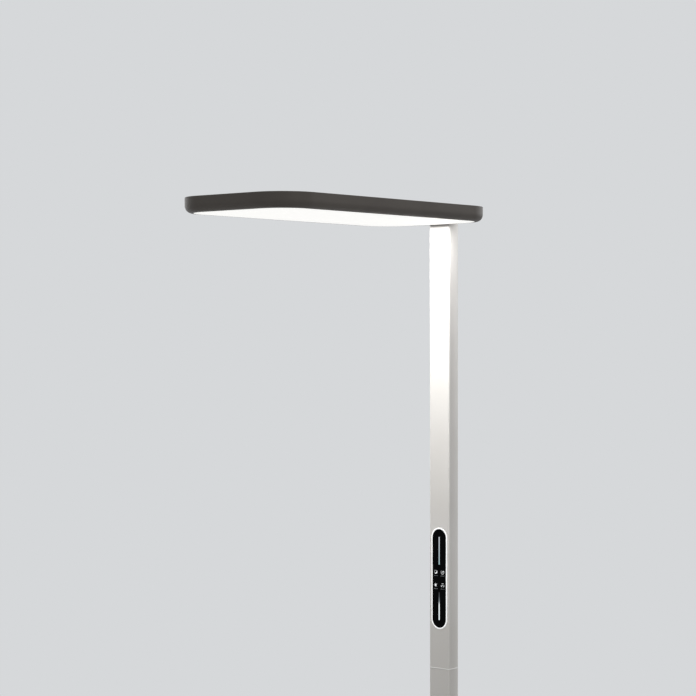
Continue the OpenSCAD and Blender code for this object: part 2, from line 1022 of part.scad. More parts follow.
// The strips are light guides that stand on the control board
module light_strip(s) {
    color([0.8, 0.95, 0.97])
        set_out()
            translate([0, 0, glass_z])
                upright(-glass_proud, glass_t + touch_gap)
                    strip_outline(s, 0);
}

module upper_light_strip() {
    light_strip(1);
}

module lower_light_strip() {
    light_strip(-1);
}

module touch_springs() {
    color([0.7, 0.6, 0.3])
        set_out()
            for (x = [-1, 1], z = [-1, 1])
                translate([x * touch_dx / 2, 0, glass_z + z * touch_dz / 2])
                    rod_y(touch_r, glass_t - glass_proud, touch_gap);
}

module control_board() {
    board_w = glass_w - 2 * tray_wall - 2 * slip - 2 * panel_gap;
    board_h = glass_h - 2 * tray_wall - 2 * slip - 2 * panel_gap;
    color([0.1, 0.35, 0.2])
        set_out()
            translate([0, 0, glass_z])
                upright(glass_t - glass_proud + touch_gap, board_t)
                    capsule(board_w, board_h);
}

module control_tray() {
    front_y = glass_t - glass_proud;
    color([0.05, 0.05, 0.05])
        set_out()
            translate([0, 0, glass_z])
                difference() {
                    union() {
                        upright(front_y, tray_d)
                            capsule(glass_w, glass_h);
                        upright(wall + panel_gap, tray_wall)
                            square([tongue_w, glass_h + 2 * tongue_l], center = true);
                    }
                    upright(front_y - past, tray_d - tray_wall + past)
                        capsule(glass_w - 2 * tray_wall, glass_h - 2 * tray_wall);
                    translate([0, 0, -signal_z])
                        rod_y(signal_r + slip, front_y, tray_d + past);
                }
}

// Short lead from the control board to the loom
module control_lead() {
    from_y = glass_t - glass_proud + touch_gap + board_t;
    color([0.12, 0.12, 0.12])
        set_out()
            translate([0, 0, glass_z - signal_z])
                rod_y(signal_r, from_y, loom_y - loom_r - from_y);
}

// Power

module wiring_loom() {
    turn_z = panel_z + loom_z - loom_bend;
    color([0.12, 0.12, 0.12])
        set_out()
            union() {
                translate([0, loom_y, supply_top])
                    cylinder(r = loom_r, h = turn_z - supply_top);
                translate([0, loom_y - loom_bend, turn_z])
                    rotate([90, 0, 90])
                        rotate_extrude(angle = 90)
                            translate([loom_bend, 0])
                                circle(r = loom_r);
                translate([0, 0, panel_z + loom_z])
                    rod_y(loom_r, -dimmer_back, dimmer_back + loom_y - loom_bend);
            }
}

module power_supply() {
    color([0.85, 0.85, 0.84])
        set_out()
            translate([0, wall + supply_pad_t + supply_d / 2, supply_bottom])
                linear_extrude(height = supply_l)
                    rounded_rectangle(supply_w, supply_d, supply_r);
}

module supply_pads() {
    color([0.15, 0.15, 0.16])
        set_out()
            for (z = [supply_bottom + supply_pad_in, supply_top - supply_pad_in - supply_pad_l])
                translate([-supply_pad_w / 2, wall, z])
                    cube([supply_pad_w, supply_pad_t, supply_pad_l]);
}

module supply_leads() {
    color([0.5, 0.35, 0.2])
        set_out()
            for (x = [-1, 1])
                translate([x * lead_dx / 2, terminal_y + terminal_d / 2, terminal_z + terminal_h])
                    cylinder(r = lead_r, h = supply_bottom - terminal_z - terminal_h);
}

module terminal_block() {
    color([0.9, 0.9, 0.88])
        set_out()
            translate([0, terminal_y, terminal_z])
                difference() {
                    translate([-terminal_w / 2, 0, 0])
                        cube([terminal_w, terminal_d, terminal_h]);
                    for (k = [-1 : 1])
                        translate([k * terminal_dx, 0, terminal_h - terminal_in])
                            rod_y(small_r, -past, terminal_d / 2 + past);
                }
}

// The stretch of mains lead that stays inside, from the gland's inner end to the terminals
module inner_lead() {
    from_y = terminal_y + terminal_d;
    color([0.1, 0.1, 0.1])
        set_out()
            translate([0, 0, gland_z])
                rod_y(gland_bore_r - lead_gap, from_y, gland_inner_y - from_y);
}

module gland_body() {
    head_l_out = gland_out + wall;
    color([0.06, 0.06, 0.06])
        set_out()
            translate([0, 0, gland_z])
                difference() {
                    union() {
                        rod_y(gland_shank_r, gland_inner_y, post_d - gland_inner_y);
                        difference() {
                            rod_y(gland_head_r, post_d - wall, head_l_out);
                            post_length(-gland_head_r - past, gland_head_r + past, 0);
                        }
                    }
                    rod_y(gland_bore_r, gland_inner_y - past, post_d);
                }
}

module gland_nut() {
    color([0.06, 0.06, 0.06])
        set_out()
            translate([0, 0, gland_z])
                difference() {
                    rod_y(gland_head_r, gland_inner_y, gland_nut_t);
                    rod_y(gland_shank_r + screw_gap, gland_inner_y - past, gland_nut_t + 2 * past);
                }
}

// The base

module at_foot_bolts() {
    for (x = [-1, 1], y = [-1, 1])
        translate([x * foot_dx / 2, foot_y + y * foot_dy / 2, 0])
            children();
}

module post_foot() {
    color([0.7, 0.71, 0.72])
        set_out()
            difference() {
                post_length(base_top, terminal_z, wall + slip);
                at_foot_bolts()
                    translate([0, 0, base_top - past])
                        cylinder(r = bolt_r + screw_gap, h = foot_grip + 2 * past);
                at_foot_screws()
                    grub_holes();
            }
}

module foot_bolts() {
    seat_z = base_z + base_t / 2;
    color([0.2, 0.2, 0.21])
        set_out()
            at_foot_bolts()
                difference() {
                    union() {
                        translate([0, 0, seat_z - bolt_head_t])
                            cylinder(r = bolt_head_r, h = bolt_head_t);
                        translate([0, 0, seat_z - past])
                            cylinder(r = bolt_r, h = base_top + foot_grip - seat_z + past);
                    }
                    translate([0, 0, seat_z - bolt_head_t - past])
                        cylinder(r = bolt_r * socket, h = past + bolt_head_t / 2, $fn = 6);
                }
}

module foot_screws() {
    color([0.2, 0.2, 0.21])
        set_out()
            at_foot_screws()
                grub_screw();
}

module base_outline(inset) {
    translate([0, base_back - base_l / 2])
        rounded_rectangle(base_w - 2 * inset, base_l - 2 * inset, base_r - inset);
}

// The plate with its top edge rounded all the way round
module base_slab() {
    e = base_edge;
    side = base_l - 2 * base_r;
    end = base_w - 2 * base_r;
    linear_extrude(height = base_t - e)
        base_outline(0);
    linear_extrude(height = base_t)
        base_outline(e);
    translate([0, base_back - base_l / 2, base_t - e]) {
        for (s = [-1, 1]) {
            translate([s * (base_w / 2 - e), -side / 2, 0])
                rod_y(e, 0, side);
            translate([-end / 2, s * (base_l / 2 - e), 0])
                rotate([0, 90, 0])
                    cylinder(r = e, h = end);
        }
        for (x = [0, 1], y = [0, 1])
            translate([(x - 0.5) * end, (0.5 - y) * side, 0])
                rotate([0, 0, x == 1 ? -90 * y : 90 + 90 * y])
                    rotate_extrude(angle = 90)
                        translate([base_r - e, 0])
                            circle(r = e);
    }
}

module base_plate() {
    seat = base_t / 2;
    color([0.22, 0.215, 0.21])
        set_out()
            difference() {
                translate([0, 0, base_z])
                    base_slab();
                at_foot_bolts() {
                    translate([0, 0, base_z - past])
                        cylinder(r = bolt_r + 2 * slip, h = base_t + 2 * past);
                    translate([0, 0, base_z - past])
                        cylinder(r = bolt_head_r + 2 * slip, h = seat + past);
                }
                for (k = [0 : 3])
                    at_glide(k)
                        translate([0, 0, base_z - past])
                            cylinder(r = stud_r + screw_gap, h = stud_in + 2 * past);
            }
}

module at_glide(k) {
    translate([(k % 2 == 0 ? -1 : 1) * glide_x, glide_y[floor(k / 2)], 0])
        children();
}

module glide_pad(k) {
    color([0.08, 0.08, 0.085])
        set_out()
            at_glide(k)
                difference() {
                    union() {
                        cylinder(r = pad_r, h = pad_t - pad_chamfer);
                        translate([0, 0, pad_t - pad_chamfer])
                            cylinder(r1 = pad_r, r2 = pad_r - pad_chamfer, h = pad_chamfer);
                    }
                    translate([0, 0, pad_t - stud_cast])
                        cylinder(r = stud_r, h = stud_cast + past);
                }
}

module glide_stud(k) {
    color([0.75, 0.75, 0.76])
        set_out()
            at_glide(k)
                translate([0, 0, pad_t - stud_cast])
                    cylinder(r = stud_r, h = stud_cast + stud_in);
}

module glide_pad_1() {
    glide_pad(0);
}

module glide_pad_2() {
    glide_pad(1);
}

module glide_pad_3() {
    glide_pad(2);
}

module glide_pad_4() {
    glide_pad(3);
}

module glide_stud_1() {
    glide_stud(0);
}

module glide_stud_2() {
    glide_stud(1);
}

module glide_stud_3() {
    glide_stud(2);
}

module glide_stud_4() {
    glide_stud(3);
}

head_frame();
lens_seal();
lower_diffuser();
heat_spreader();
down_board_1();
down_board_2();
down_board_3();
down_board_4();
up_board_1();
up_board_2();
upper_window();
top_cover();
head_bracket();
neck_bolts();
nut_plate();
dimming_board();
dimming_pillars();
spreader_screws();
cover_screws();
bracket_screws();
post_upper();
post_lower();
seam_ring();
joining_spigot();
spigot_screws();
post_cap();
control_bezel();
control_glass();
upper_light_strip();
lower_light_strip();
touch_springs();
control_board();
control_tray();
control_lead();
wiring_loom();
power_supply();
supply_pads();
supply_leads();
terminal_block();
inner_lead();
gland_body();
gland_nut();
post_foot();
foot_bolts();
foot_screws();
base_plate();
glide_pad_1();
glide_pad_2();
glide_pad_3();
glide_pad_4();
glide_stud_1();
glide_stud_2();
glide_stud_3();
glide_stud_4();
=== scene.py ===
# %% [markdown]
# # An office floor lamp
#
# The lamp is a slim lit head on a slender post, with a touch panel at hand height and a flat
# base plate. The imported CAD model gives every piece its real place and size. Here each piece
# that shows gets a finer surface with softly broken edges, and every piece gets its finish.

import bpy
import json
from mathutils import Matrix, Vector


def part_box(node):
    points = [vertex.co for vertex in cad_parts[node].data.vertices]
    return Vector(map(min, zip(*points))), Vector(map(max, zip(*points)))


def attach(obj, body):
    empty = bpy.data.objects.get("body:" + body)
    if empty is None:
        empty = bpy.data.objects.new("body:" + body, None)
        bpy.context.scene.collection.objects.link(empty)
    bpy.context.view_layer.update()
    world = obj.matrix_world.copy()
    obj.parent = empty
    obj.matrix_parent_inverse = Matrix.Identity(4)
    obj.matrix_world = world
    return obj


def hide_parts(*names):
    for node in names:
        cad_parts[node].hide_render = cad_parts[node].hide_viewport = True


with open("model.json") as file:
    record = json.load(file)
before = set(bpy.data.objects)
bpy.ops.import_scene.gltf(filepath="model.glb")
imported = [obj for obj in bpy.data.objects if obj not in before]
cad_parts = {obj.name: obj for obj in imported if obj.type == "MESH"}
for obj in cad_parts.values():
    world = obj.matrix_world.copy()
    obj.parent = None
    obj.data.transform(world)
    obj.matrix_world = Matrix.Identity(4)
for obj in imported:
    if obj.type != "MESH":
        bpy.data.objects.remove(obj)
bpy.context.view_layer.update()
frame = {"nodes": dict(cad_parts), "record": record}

# %% [markdown]
# ## Camera
#
# The photograph looks slightly up at the lit face from the height of a standing eye. A level
# camera with a long lens, a little over four metres from the post and 41 degrees to the right of
# the front, gives the same picture. One angle turns it, so nothing has to be aimed by hand.

# %% Camera at the photograph's place
import json
import math

import bpy
import numpy as np

MM = 0.001
CAMERA_TURN = math.radians(41.033)

camera_data = bpy.data.cameras.new("photo_camera")
camera_data.lens = 107.73
camera_data.sensor_width = 36.0
camera = bpy.data.objects.new("photo_camera", camera_data)
camera.location = (2.7224, -3.1347, 1.6621)
camera.rotation_euler = (math.radians(90), 0, CAMERA_TURN)
bpy.context.scene.collection.objects.link(camera)
bpy.context.scene.camera = camera
print("camera at", tuple(round(c, 3) for c in camera.location))

# %% [markdown]
# ## Outlines
#
# Seen from above, every large piece of this lamp is a convex outline: straight lines joined by
# arcs. Such an outline can be written as a list of arcs alone, because the straight lines appear
# by themselves between the end of one arc and the start of the next. Each arc also gives the
# outward direction at every point, which is what lets a profile follow the outline later.

# %% Outlines made of arcs
ARC_STEPS, SAME_PLACE = 25, 1e-7


def distinct(points, *others):
    """Drops each point that lies on the one before it, and the same rows of the other arrays."""
    apart = np.linalg.norm(points - np.roll(points, 1, axis=0), axis=1) > SAME_PLACE
    return [a[apart] for a in (points, *others)]


def arc_outline(arcs, steps):
    """Convex outline of arcs. Each arc is (centre x, centre y, radius, first and last angle).

    A point is the centre plus the radius times the unit vector of its angle, and that unit
    vector is the outward normal there.
    """
    arcs = np.array(arcs, float)
    share = np.linspace(0, 1, steps)
    angle = np.radians(arcs[:, 3:4] + (arcs[:, 4:5] - arcs[:, 3:4]) * share)
    normal = np.stack([np.cos(angle), np.sin(angle)], -1)
    points = arcs[:, None, 0:2] + arcs[:, None, 2:3] * normal
    return distinct(points.reshape(-1, 2), normal.reshape(-1, 2))


def round_rectangle(width, length, radius, middle_y, steps=ARC_STEPS):
    """Outline of four quarter arcs, one in each corner."""
    x, y = width / 2 - radius, length / 2 - radius
    corners = [(x, -y, -90), (x, y, 0), (-x, y, 90), (-x, -y, 180)]
    return arc_outline([(cx, middle_y + cy, radius, a, a + 90) for cx, cy, a in corners], steps)


def capsule_outline(width, height, steps=33):
    """Outline of two half circles, one above the other."""
    r, y = width / 2, (height - width) / 2
    return arc_outline([(0, y, r, 0, 180), (0, -y, r, 180, 360)], steps)


# %% [markdown]
# The post's section is the one outline with more than corners. Its sides bow out a little, so
# each of them is an arc of a large circle, and its rear is a third arc that runs on from both.

# %% Outlines of the post and the head
POST_FRONT = 0.285
POST_W, POST_D = 53 * MM, 49 * MM
SIDE_R, SIDE_Y, FRONT_R = 80 * MM, 6 * MM, 3 * MM


def post_outline():
    """The post's section: a flat front with small corners, gently bowed sides, a round rear.

    The rear arc's radius is the one at which it runs on from the side arcs without a corner.
    """
    side_x, run = SIDE_R - POST_W / 2, POST_D - SIDE_Y
    back_r = (SIDE_R**2 - side_x**2 - run**2) / (2 * (SIDE_R - run))
    back_y = POST_D - back_r
    join = math.degrees(math.atan2(back_y - SIDE_Y, side_x))
    start = math.degrees(math.asin((FRONT_R - SIDE_Y) / SIDE_R))
    corner_x = math.sqrt(SIDE_R**2 - (FRONT_R - SIDE_Y) ** 2) - side_x - FRONT_R
    y = POST_FRONT
    return arc_outline([
        (corner_x, y + FRONT_R, FRONT_R, -90, start),
        (-side_x, y + SIDE_Y, SIDE_R, start, join),
        (0, y + back_y, back_r, join, 180 - join),
        (side_x, y + SIDE_Y, SIDE_R, 180 - join, 180 - start),
        (-corner_x, y + FRONT_R, FRONT_R, 180 - start, 270),
    ], ARC_STEPS)


HEAD_LOW, HEAD_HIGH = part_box("head_frame")
HEAD_W, HEAD_L = HEAD_HIGH.x - HEAD_LOW.x, HEAD_HIGH.y - HEAD_LOW.y
HEAD_Y, LIT_Z = (HEAD_HIGH.y + HEAD_LOW.y) / 2, HEAD_LOW.z
HEAD_CORNER = 76 * MM
head_outline = round_rectangle(HEAD_W, HEAD_L, HEAD_CORNER, HEAD_Y)
print("head", [round(v, 4) for v in (HEAD_W, HEAD_L)], "lit face at", round(LIT_Z, 4))

# %% [markdown]
# ## Profiles and rings
#
# A profile is the section through an edge: how far in from the outline, and how high. Real edges
# are never perfectly sharp, and it is the small rounding that catches a line of light. So each
# profile starts as a few corners, and every corner is replaced by an arc. One more point just
# before and after each arc keeps the shading of the flat faces flat. The numbers in a profile
# are mm, and places on the lamp are metres.

# %% Profiles with rounded corners
def rounded(corners, radii, steps=7, hold=0.2):
    """Turns a profile's corners (inset, height) and their radii, in mm, into a rounded profile.

    At a corner the line turns by an angle t. The arc starts radius times tan(t / 2) before the
    corner, and its points come from turning the first radius vector by equal shares of t.
    """
    p = np.array(corners, float)
    r = np.array(radii, float)[:, None]
    into, out = p - np.roll(p, 1, axis=0), np.roll(p, -1, axis=0) - p
    into /= np.linalg.norm(into, axis=1, keepdims=True)
    out /= np.linalg.norm(out, axis=1, keepdims=True)
    turn = np.arctan2(into[:, 0] * out[:, 1] - into[:, 1] * out[:, 0], (into * out).sum(1))[:, None]
    first = p - into * r * np.tan(np.abs(turn) / 2)
    spoke = -np.stack([-into[:, 1], into[:, 0]], 1) * np.sign(turn) * r
    angle = turn * np.linspace(0, 1, steps)
    x = np.cos(angle) * spoke[:, :1] - np.sin(angle) * spoke[:, 1:]
    y = np.sin(angle) * spoke[:, :1] + np.cos(angle) * spoke[:, 1:]
    arc = (first - spoke)[:, None, :] + np.stack([x, y], -1)
    before = arc[:, :1] - (into * hold * r)[:, None, :]
    after = arc[:, -1:] + (out * hold * r)[:, None, :]
    return distinct(np.concatenate([before, arc, after], 1).reshape(-1, 2))[0] * MM


def carry(outline, profile):
    """Rings of points: each profile point moves the outline inwards and lifts it."""
    points, normal = outline
    ring = points[None] - profile[:, None, :1] * normal[None]
    lift = np.broadcast_to(profile[:, None, 1:], ring.shape[:2] + (1,))
    return np.concatenate([ring, lift], -1)


def turned(profile, steps):
    """Rings of a piece turned on a lathe: each profile point is (radius, height)."""
    angle = np.linspace(0, 2 * np.pi, steps, endpoint=False)
    ring = profile[:, None, :1] * np.stack([np.cos(angle), np.sin(angle)], -1)[None]
    lift = np.broadcast_to(profile[:, None, 1:], ring.shape[:2] + (1,))
    return np.concatenate([ring, lift], -1)


def stand_up(rings, height):
    """Turns rings drawn flat into rings on the post's front face: y becomes up, z points out."""
    x, up, out = np.moveaxis(rings, -1, 0)
    return np.stack([x, POST_FRONT - out, height + up], -1)


square = [(0, 0), (9, 0), (9, 9), (0, 9)]
print("a square with rounded corners has", len(rounded(square, [2, 2, 2, 2])), "points")

# %% [markdown]
# ## From rings to a closed mesh
#
# The rings form a grid, so the four corners of every face are known from their row and column.
# A tube joins its last ring to its first, and a plate closes both ends with one flat face. Which
# way round the faces are is settled at the end: if the volume they enclose comes out negative,
# they all point inwards and are turned.

# %% Faces between rings
def grid_faces(rows, columns, loop):
    """Four-cornered faces between neighbouring rings, each ring being closed."""
    i = np.arange(rows if loop else rows - 1)[:, None] * columns
    nxt = (i + columns) % (rows * columns)
    j, k = np.arange(columns)[None], (np.arange(columns)[None] + 1) % columns
    return np.stack([i + j, i + k, nxt + k, nxt + j], -1).reshape(-1, 4)


def enclosed(points, faces):
    """Volume inside triangles: a sixth of the sum of the triple products of their corners."""
    a, b, c = (points[faces[:, n]] for n in range(3))
    return np.einsum("ij,ij->i", a, np.cross(b, c)).sum() / 6


print("faces between three rings of eight points:", len(grid_faces(3, 8, False)))

# %% One closed mesh
HARD_ANGLE = 32


def skin(name, ring_sets, loop=False):
    """One closed mesh from one or more sets of rings, with its faces pointing outwards.

    When the volume is measured, each face is two triangles and each flat end a fan of them.
    """
    points, faces, start = [], [], 0
    for rings in ring_sets:
        rows, columns = rings.shape[:2]
        quads, flat = grid_faces(rows, columns, loop), rings.reshape(-1, 3)
        sides, ends = np.concatenate([quads[:, :3], quads[:, [0, 2, 3]]]), []
        if not loop:
            last, fan = (rows - 1) * columns, np.arange(1, columns - 1)
            low = np.stack([0 * fan, fan + 1, fan], 1)
            high = last + np.stack([0 * fan, fan, fan + 1], 1)
            sides = np.concatenate([sides, low, high])
            ends = [np.arange(columns)[::-1], last + np.arange(columns)]
        turn = -1 if enclosed(flat - flat.mean(0), sides) < 0 else 1
        faces += (quads[:, ::turn] + start).tolist() + [(e[::turn] + start).tolist() for e in ends]
        points.append(flat)
        start += len(flat)
    mesh = bpy.data.meshes.new(name)
    mesh.from_pydata(np.concatenate(points).tolist(), [], faces)
    mesh.validate()
    piece = bpy.data.objects.new(name, mesh)
    bpy.context.scene.collection.objects.link(piece)
    soften(piece)
    return piece


def soften(piece):
    """Shades the piece smoothly and keeps an edge hard where its faces meet at a larger angle."""
    piece.data.shade_smooth()
    piece.data.set_sharp_from_angle(angle=math.radians(HARD_ANGLE))


# %% [markdown]
# Each new piece rides on one of the lamp's moving bodies, belongs to a slot of the record, and
# takes the place of one CAD node. Only the printed signs and bars stand for no node.

# %% Fit a piece to the lamp
made = []


def fit(piece, slot, *nodes, body="lamp"):
    """Gives the piece its body, its slot of the record and the CAD nodes that it stands for."""
    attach(piece, body)
    if nodes:
        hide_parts(*nodes)
    made.append((piece, slot))
    size = [round(v / MM, 1) for v in piece.dimensions]
    print(f"{piece.name}: {len(piece.data.polygons)} faces, {size} mm")


# %% [markdown]
# ## Cutting holes
#
# Holes are cut the way a workshop does it, with a tool of the hole's own shape. The tool is a
# second mesh, the Boolean modifier takes it away from the piece, and the result is kept as the
# piece's own mesh. The tool is then thrown away.

# %% Cut holes with tools
def cut(piece, tools):
    """Takes every tool away from the piece, keeps the result as its mesh and removes the tools."""
    for number, tool in enumerate(tools):
        step = piece.modifiers.new(f"cut_{number}", "BOOLEAN")
        step.operation, step.solver, step.object = "DIFFERENCE", "EXACT", tool
    bpy.context.view_layer.update()
    graph = bpy.context.evaluated_depsgraph_get()
    mesh = bpy.data.meshes.new_from_object(piece.evaluated_get(graph))
    piece.modifiers.clear()
    old, piece.data = piece.data, mesh
    bpy.data.meshes.remove(old)
    mesh.name = piece.name
    for tool in tools:
        bpy.data.objects.remove(tool)
    soften(piece)
    print(piece.name, "cut with", len(tools), "tools")


def drill(x, y, z, radius, depth, axis="z"):
    """A round tool that starts at a point and runs upwards (z) or towards the rear (y)."""
    rings = turned(np.array([(radius, 0.0), (radius, depth)]), steps=40)
    if axis == "y":
        rings = np.stack([rings[..., 0], rings[..., 2], rings[..., 1]], -1)
    return skin("tool", [rings + np.array([x, y, z])])


# %% [markdown]
# ## The head's frame
#
# The ring round the lit panel is one aluminium casting: a large rounding below, a straight side
# and a crisp top edge. It could be a box with a Bevel modifier, but the rounding below is as
# large as the rim is wide. So the section is drawn once and carried round the outline. The
# blocks and pillars inside it stay in the CAD model, because the covers hide them.

# %% Frame of the head
HEAD_H, HEAD_WALL, RIM_W = 30, 2.5, 15

frame_section = rounded(
    [(RIM_W, 0), (0, 0), (0, HEAD_H), (HEAD_WALL, HEAD_H), (HEAD_WALL, HEAD_WALL), (RIM_W, HEAD_WALL)],
    [0.4, 14, 0.8, 0.3, 11.5, 0.3], steps=12)
head_frame = skin("head_ring", [carry(head_outline, frame_section) + [0, 0, LIT_Z]], loop=True)
fit(head_frame, "head_finish", "head_frame")

# %% [markdown]
# ## The lit panel
#
# The underside is one opal panel. A step round its edge rests on the frame's rim, which hides
# the step, so only the flat face and a hairline gap show.

# %% Opal panel
LIGHT_GAP = 0.25
STEP_W, STEP_Z, PANEL_TOP, PANEL_IN = 2, 3, 4.5, 40

panel_edge, step_edge = RIM_W + LIGHT_GAP, RIM_W - STEP_W
panel_section = rounded(
    [(PANEL_IN, 0), (panel_edge, 0), (panel_edge, STEP_Z), (step_edge, STEP_Z), (step_edge, PANEL_TOP),
     (PANEL_IN, PANEL_TOP)],
    [0, 0.3, 0.1, 0.2, 0.2, 0], steps=5)
opal_panel = skin("opal_panel", [carry(head_outline, panel_section) + [0, 0, LIT_Z]])
fit(opal_panel, "opal", "lower_diffuser")

# %% [markdown]
# ## Top cover and window
#
# The cover is a thin plate with a large round-cornered opening for the light that goes up. Its
# outer edge and the opening have outlines with the same number of points, so one ring of faces
# can run from the outer edge, over the plate, round the opening and back underneath.

# %% Top cover
COVER_IN, COVER_LOW, EDGE_IN = 2.75 * MM, 27.5, 1.5
WINDOW_W, WINDOW_CORNER = 230 * MM, 40 * MM
WINDOW_FROM_FRONT, WINDOW_FROM_REAR = 45 * MM, 255 * MM

cover_outline = round_rectangle(
    HEAD_W - 2 * COVER_IN, HEAD_L - 2 * COVER_IN, HEAD_CORNER - COVER_IN, HEAD_Y)
window_front, window_back = HEAD_LOW.y + WINDOW_FROM_FRONT, HEAD_HIGH.y - WINDOW_FROM_REAR
window_outline = round_rectangle(
    WINDOW_W, window_back - window_front, WINDOW_CORNER, (window_front + window_back) / 2)

plate_edge = rounded(
    [(EDGE_IN, COVER_LOW), (0, COVER_LOW), (0, HEAD_H), (EDGE_IN, HEAD_H)], [0, 0.2, 0.5, 0])
window_edge = rounded(
    [(-EDGE_IN, HEAD_H), (0, HEAD_H), (0, COVER_LOW), (-EDGE_IN, COVER_LOW)], [0, 0.4, 0.2, 0])
cover_rings = np.concatenate([carry(cover_outline, plate_edge), carry(window_outline, window_edge)])
top_cover = skin("top_plate", [cover_rings + [0, 0, LIT_Z]], loop=True)

# %% Screw holes of the top cover
SCREW_SEAT, SCREW_HOLE_R, SCREW_IN = LIT_Z + 28.45 * MM, 3.05 * MM, 9 * MM

screw_x = HEAD_W / 2 - SCREW_IN
screw_step = (HEAD_L - 2 * HEAD_CORNER) / 6
cut(top_cover, [
    drill(side * screw_x, HEAD_Y + k * screw_step, SCREW_SEAT, SCREW_HOLE_R, 3 * MM)
    for side in (-1, 1) for k in (-3, -1, 1, 3)])
fit(top_cover, "head_finish", "top_cover")

# %% Window
LIP_W, LIP_TOP, PANE_LOW, PANE_IN = 4, 27.4, 26, 20

pane_section = rounded(
    [(PANE_IN, PANE_LOW), (-LIP_W, PANE_LOW), (-LIP_W, LIP_TOP), (LIGHT_GAP, LIP_TOP), (LIGHT_GAP, HEAD_H),
     (PANE_IN, HEAD_H)],
    [0, 0.2, 0.2, 0.1, 0.5, 0], steps=5)
window_pane = skin("window_pane", [carry(window_outline, pane_section) + [0, 0, LIT_Z]])
fit(window_pane, "window", "upper_window")

# %% [markdown]
# ## The post
#
# The post is an extruded tube in two halves. Its section has a flat front, bowed sides and a
# round rear, and a 2.5 mm wall. A bead fills the joint and stands out of it a little. Its
# near-white finish is a painted highlight for the thin light line along the joint. Its rounded
# upper side also faces the lit head and catches its light.

# %% Tubes and the holes in their rear
POST_WALL = 2.5
GRUB_R, REAR_DEPTH = 2.55 * MM, 9 * MM
REAR_Y = POST_FRONT + 42.4 * MM

tube_outline = post_outline()
lower_low, lower_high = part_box("post_lower")
upper_low, upper_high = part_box("post_upper")
JOINT_Z = lower_high.z
print("the lower half ends at", round(JOINT_Z, 4), "and the upper half starts at", round(upper_low.z, 4))


def tube(name, low, high):
    """A closed tube between two heights, in metres, with its ends' outer edges broken."""
    low, high = low / MM, high / MM
    section = rounded(
        [(0, low), (0, high), (POST_WALL, high), (POST_WALL, low)], [0.7, 0.7, 0.2, 0.2], steps=5)
    return skin(name, [carry(tube_outline, section)], loop=True)


def grub_holes(heights):
    """Tools for the grub screw holes in the rear of the post."""
    return [drill(0, REAR_Y, z, GRUB_R, REAR_DEPTH, "y") for z in heights]


# %% Upper post with the pocket of the touch panel
GRUBS_FROM_JOINT = (28 * MM, 62 * MM)
POCKET_GAP = 0.15 * MM
POCKET_BACK, POCKET_FRONT = -4 * MM, 2 * MM

glass_low, glass_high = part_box("control_glass")
GLASS_W, GLASS_H = glass_high.x - glass_low.x, glass_high.z - glass_low.z
GLASS_Z = (glass_high.z + glass_low.z) / 2
upper_post = tube("upper_post", upper_low.z, upper_high.z)
pocket_outline = capsule_outline(GLASS_W + 2 * POCKET_GAP, GLASS_H + 2 * POCKET_GAP)
pocket = stand_up(carry(pocket_outline, np.array([(0, POCKET_BACK), (0, POCKET_FRONT)])), GLASS_Z)
cut(upper_post, [skin("tool", [pocket])] + grub_holes([JOINT_Z + up for up in GRUBS_FROM_JOINT]))
fit(upper_post, "post_finish", "post_upper")

# %% Lower post
GRUBS_FROM_BASE = (24 * MM, 58 * MM)
GLAND_Z, GLAND_HOLE_R = 0.112, 6.15 * MM

lower_post = tube("lower_post", lower_low.z, lower_high.z)
lower_grubs = [JOINT_Z - down for down in GRUBS_FROM_JOINT] + [lower_low.z + up for up in GRUBS_FROM_BASE]
gland_hole = drill(0, REAR_Y, GLAND_Z, GLAND_HOLE_R, REAR_DEPTH, "y")
cut(lower_post, grub_holes(lower_grubs) + [gland_hole])
fit(lower_post, "post_finish", "post_lower")

# %% Bright bead in the joint
BEAD_BED, BEAD_OUT, BEAD_IN = 0.4, 0.2, 0.6

bead_low, bead_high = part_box("seam_ring")
stand_out = (bead_high.x - bead_low.x - POST_W) / 2 / MM + BEAD_OUT
bead_bottom, bead_top = bead_low.z / MM - BEAD_BED, bead_high.z / MM + BEAD_BED
bead_section = rounded(
    [(-stand_out, bead_bottom), (-stand_out, bead_top), (BEAD_IN, bead_top), (BEAD_IN, bead_bottom)],
    [0.75, 0.75, 0, 0], steps=8)
joint_ring = skin("joint_ring", [carry(tube_outline, bead_section)], loop=True)
print("the bead stands out", round(stand_out, 2), "mm")
fit(joint_ring, "seam_bright", "seam_ring")

# %% Lid of the post
LID_IN = 2.4

lid_low, lid_top = upper_high.z / MM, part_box("post_cap")[1].z / MM
lid_section = rounded([(LID_IN, lid_low), (0, lid_low), (0, lid_top), (LID_IN, lid_top)], [0, 0.3, 0.8, 0])
post_lid = skin("post_lid", [carry(tube_outline, lid_section)])
fit(post_lid, "post_finish", "post_cap")

# %% [markdown]
# ## The touch panel
#
# A black glass capsule lies in a pocket of the post's front face, inside a thin bright ring. Two
# light guides show through slots in the glass. All of them are drawn flat, like the plates, and
# then stood up on the post's front face.

# %% Bright ring
RING_GAP, RING_OUT = 0.1, 0.8

ring_low, ring_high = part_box("control_bezel")
RING_W, RING_H = ring_high.x - ring_low.x, ring_high.z - ring_low.z
ring_t = (RING_W - GLASS_W) / 2 / MM - RING_GAP
ring_profile = rounded([(0, 0), (0, RING_OUT), (ring_t, RING_OUT), (ring_t, 0)], [0, 0.7, 0.5, 0])
ring_rings = carry(capsule_outline(RING_W, RING_H), ring_profile)
bright_ring = skin("bright_ring", [stand_up(ring_rings, GLASS_Z)], loop=True)
print("ring", round(ring_t, 2), "mm wide round a glass of", round(GLASS_W, 4), "by", round(GLASS_H, 4))
fit(bright_ring, "bezel_bright", "control_bezel")

# %% Glass and light guides
GLASS_OUT, GLASS_BACK, GLASS_IN = 0.5, -1.7, 5
GUIDE_CORNER, GUIDE_IN, GUIDE_BACK, GUIDE_GAP = 0.4, 0.3, -3.3, 0.1
SLOT_BACK, SLOT_FRONT = -3, 2

